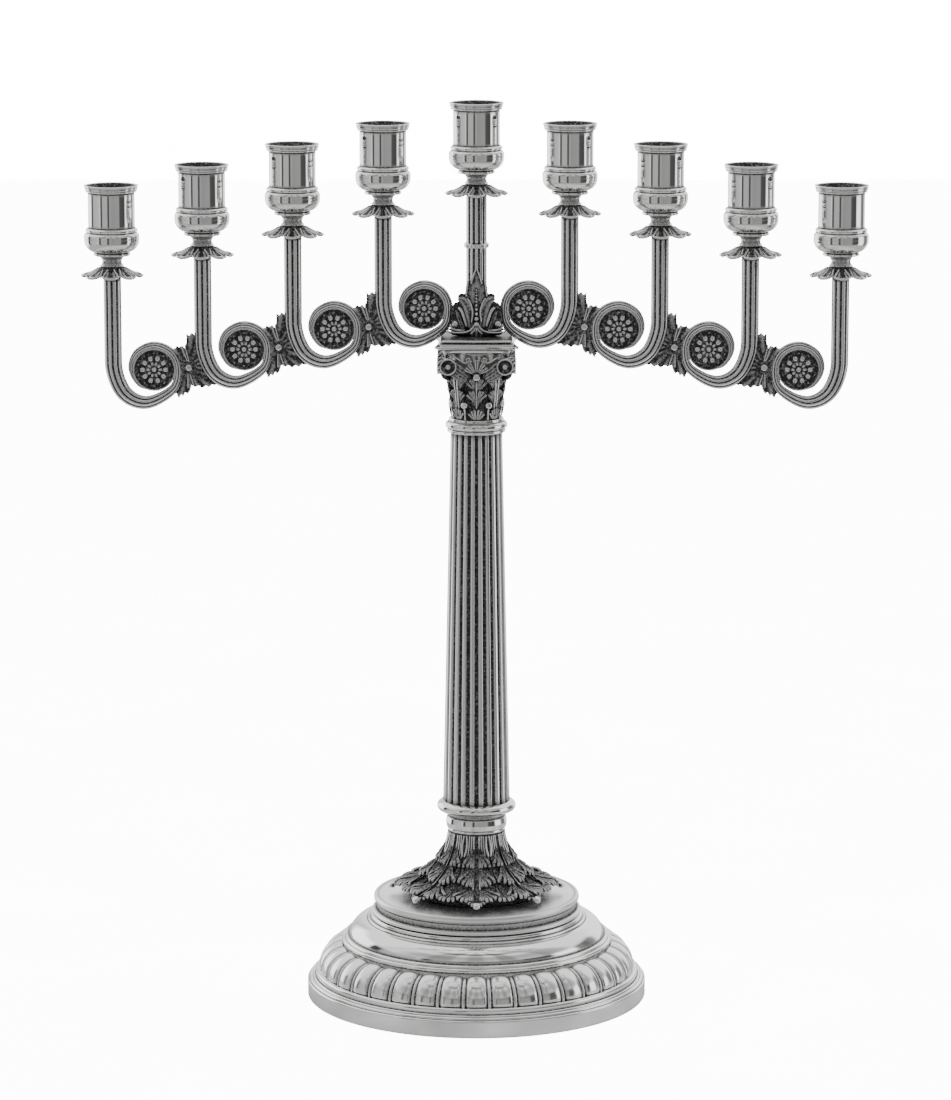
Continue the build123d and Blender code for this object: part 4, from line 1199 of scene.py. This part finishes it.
def area_light(name, place, target, width, height, power):
    data = bpy.data.lights.new(name, "AREA")
    data.shape = "RECTANGLE"
    data.size = width
    data.size_y = height
    data.energy = power
    made = bpy.data.objects.new(name, data)
    made.location = place
    made.rotation_euler = (Vector(target) - Vector(place)).to_track_quat("-Z", "Y").to_euler()
    made.visible_glossy = False
    bpy.context.scene.collection.objects.link(made)


# what polished metal reflects at eye level: degrees round from the camera, right negative, and brightness
REFLECTED_BANDS = (
    (0, 0.40), (5, 0.40), (8, 0.07), (14, 0.08), (17, 0.50), (40, 0.50), (44, 0.07), (50, 0.07), (55, 1.1),
    (59, 0.66), (95, 0.56), (101, 0.07), (110, 0.07), (115, 2.4), (150, 2.8), (160, 0.9), (180, 1.8),
    (-140, 1.8), (-132, 0.36), (-120, 0.16), (-107, 0.32), (-100, 2.2), (-79, 2.2), (-72, 0.07), (-46, 0.09),
    (-41, 0.36), (-4, 0.32),
)
# where dark lines run round the room, by (1 + sine of the height) / 2
SKIRTING = (
    (0.0, 0.0), (0.26, 0.0), (0.285, 0.8), (0.31, 0.0), (0.66, 0.0), (0.69, 0.8), (0.72, 0.0), (1.0, 0.0),
)
# dark patches of the ceiling by direction, from the camera's side round by the left to it again
CEILING_PATCHES = (
    (0.0, 0.5), (0.02, 0.5), (0.035, 0.0), (0.06, 0.0), (0.075, 0.55), (0.13, 0.6), (0.15, 0.0),
    (0.24, 0.0), (0.27, 0.35), (0.31, 0.0), (0.70, 0.0), (0.73, 0.6), (0.80, 0.65), (0.82, 0.0),
    (0.88, 0.0), (0.895, 0.6), (0.93, 0.65), (0.945, 0.0), (0.97, 0.0), (0.985, 0.5), (1.0, 0.5),
)
FLOOR_GLOW = 0.55
CEILING_GLOW = 1.4
# brightness of the ceiling in front of the object, by the sine of the height that it is seen at
FRONT_CEILING = (
    (0.0, 0.70), (0.42, 0.85), (0.60, 0.60), (0.70, 0.50), (0.80, 0.60), (0.84, 1.1), (0.90, 1.0),
    (0.92, 0.12), (0.955, 0.12), (0.965, 1.3), (1.0, 1.6),
)


def grey(level):
    return (level, level, level, 1)


def ramp(graph, value, levels):
    """Grey that follows the value through (place, brightness) levels."""
    made = graph.node("ValToRGB", {"Fac": value})
    stops = made.color_ramp.elements
    for number, (place, level) in enumerate(levels):
        stop = stops[number] if number < 2 else stops.new(place)
        stop.position = place
        stop.color = grey(level)
    return made.outputs["Color"]


def studio():
    """Surroundings that look plain white to the camera, with grey and dark bands for metal to reflect."""
    world = bpy.data.worlds.new("studio")
    bpy.context.scene.world = world
    graph = Graph(world, "Background")
    ray = graph.node("TexCoord").outputs["Generated"]
    split = graph.node("SeparateXYZ", {0: ray}).outputs
    azimuth = graph.math("ARCTAN2", split["X"], split["Y"])
    turn = graph.span(azimuth, -math.pi, math.pi)
    bands = sorted((angle / 360 % 1, level) for angle, level in REFLECTED_BANDS)
    walls = ramp(graph, turn, bands + [(1.0, REFLECTED_BANDS[0][1])])
    front_ceiling = ramp(graph, split["Z"], FRONT_CEILING)
    beside = graph.span(split["Y"], -0.30, 0.05)
    ceiling = graph.mix(beside, front_ceiling, grey(CEILING_GLOW))
    above = graph.span(split["Z"], 0.36, 0.50)
    below = graph.span(split["Z"], -0.34, -0.50)
    level = graph.mix(above, walls, ceiling)
    level = graph.mix(below, level, grey(FLOOR_GLOW))
    skirting = ramp(graph, graph.span(split["Z"], -1, 1), SKIRTING)
    in_front = graph.span(split["Y"], -0.25, -0.5)
    level = graph.mix(graph.math("MULTIPLY", skirting, in_front), level, grey(0.03))
    patches = ramp(graph, turn, CEILING_PATCHES)
    level = graph.mix(graph.math("MULTIPLY", patches, above), level, grey(0.16))
    seen = graph.node("LightPath").outputs["Is Camera Ray"]
    level = graph.mix(seen, level, grey(BACKDROP_GLOW))
    graph.connect(level, "Color")
    area_light("key_left", (-1.5, -1.3, 1.9), (0, 0, 0.25), 1.1, 1.2, 18)
    area_light("key_right", (1.6, -1.0, 1.7), (0, 0, 0.25), 0.9, 1.2, 13)
    area_light("top", (0, -0.1, 2.1), (0, 0, 0.2), 1.5, 1.2, 18)


def floor():
    """Plain pale floor, glowing white to the camera, and the round table top that the metal reflects."""
    graph = Graph(bpy.data.materials.new("pale_floor"))
    place = graph.node("TexCoord").outputs["Object"]
    grain = graph.noise(9.0, 3, 0.5, place)
    graph.connect(graph.mix(graph.span(grain, 0.35, 0.65), grey(0.30), grey(0.62)), "Base Color")
    graph.shader.inputs["Roughness"].default_value = 0.7
    graph.shader.inputs["Emission Color"].default_value = (1, 1, 1, 1)
    seen = graph.node("LightPath").outputs["Is Camera Ray"]
    graph.connect(graph.math("MULTIPLY", seen, BACKDROP_GLOW * 0.8), "Emission Strength")
    rings = ([(FLOOR_HALF * x, FLOOR_HALF * y, 0) for x, y in ((-1, -1), (1, -1), (1, 1), (-1, 1))],
             round_points(TABLE_RADIUS, full_turn(64), 0).tolist())
    for name, ring, depth in zip(("floor", "table_top"), rings, (-0.0006, -0.0004)):
        mesh = bpy.data.meshes.new(name)
        mesh.from_pydata(ring, [], [tuple(range(len(ring)))])
        mesh.materials.append(graph.owner)
        made = bpy.data.objects.new(name, mesh)
        made.location.z = depth
        made.visible_glossy = name == "table_top"
        bpy.context.scene.collection.objects.link(made)


def keep_cad(names, material):
    """CAD nodes whose shape is right stay, with a better material."""
    for name in names:
        for slot in frame["nodes"][name].material_slots:
            slot.material = material


column_pieces()
carved_pieces()
middle_stems()
lights_and_arms()
keep_cad(["tie_rod", "tie_nut_lower", "tie_nut_upper", "tie_washer"], STEEL)
keep_cad(["capital_sleeve", "plinth_spigot"], POLISHED)
camera()
studio()
floor()
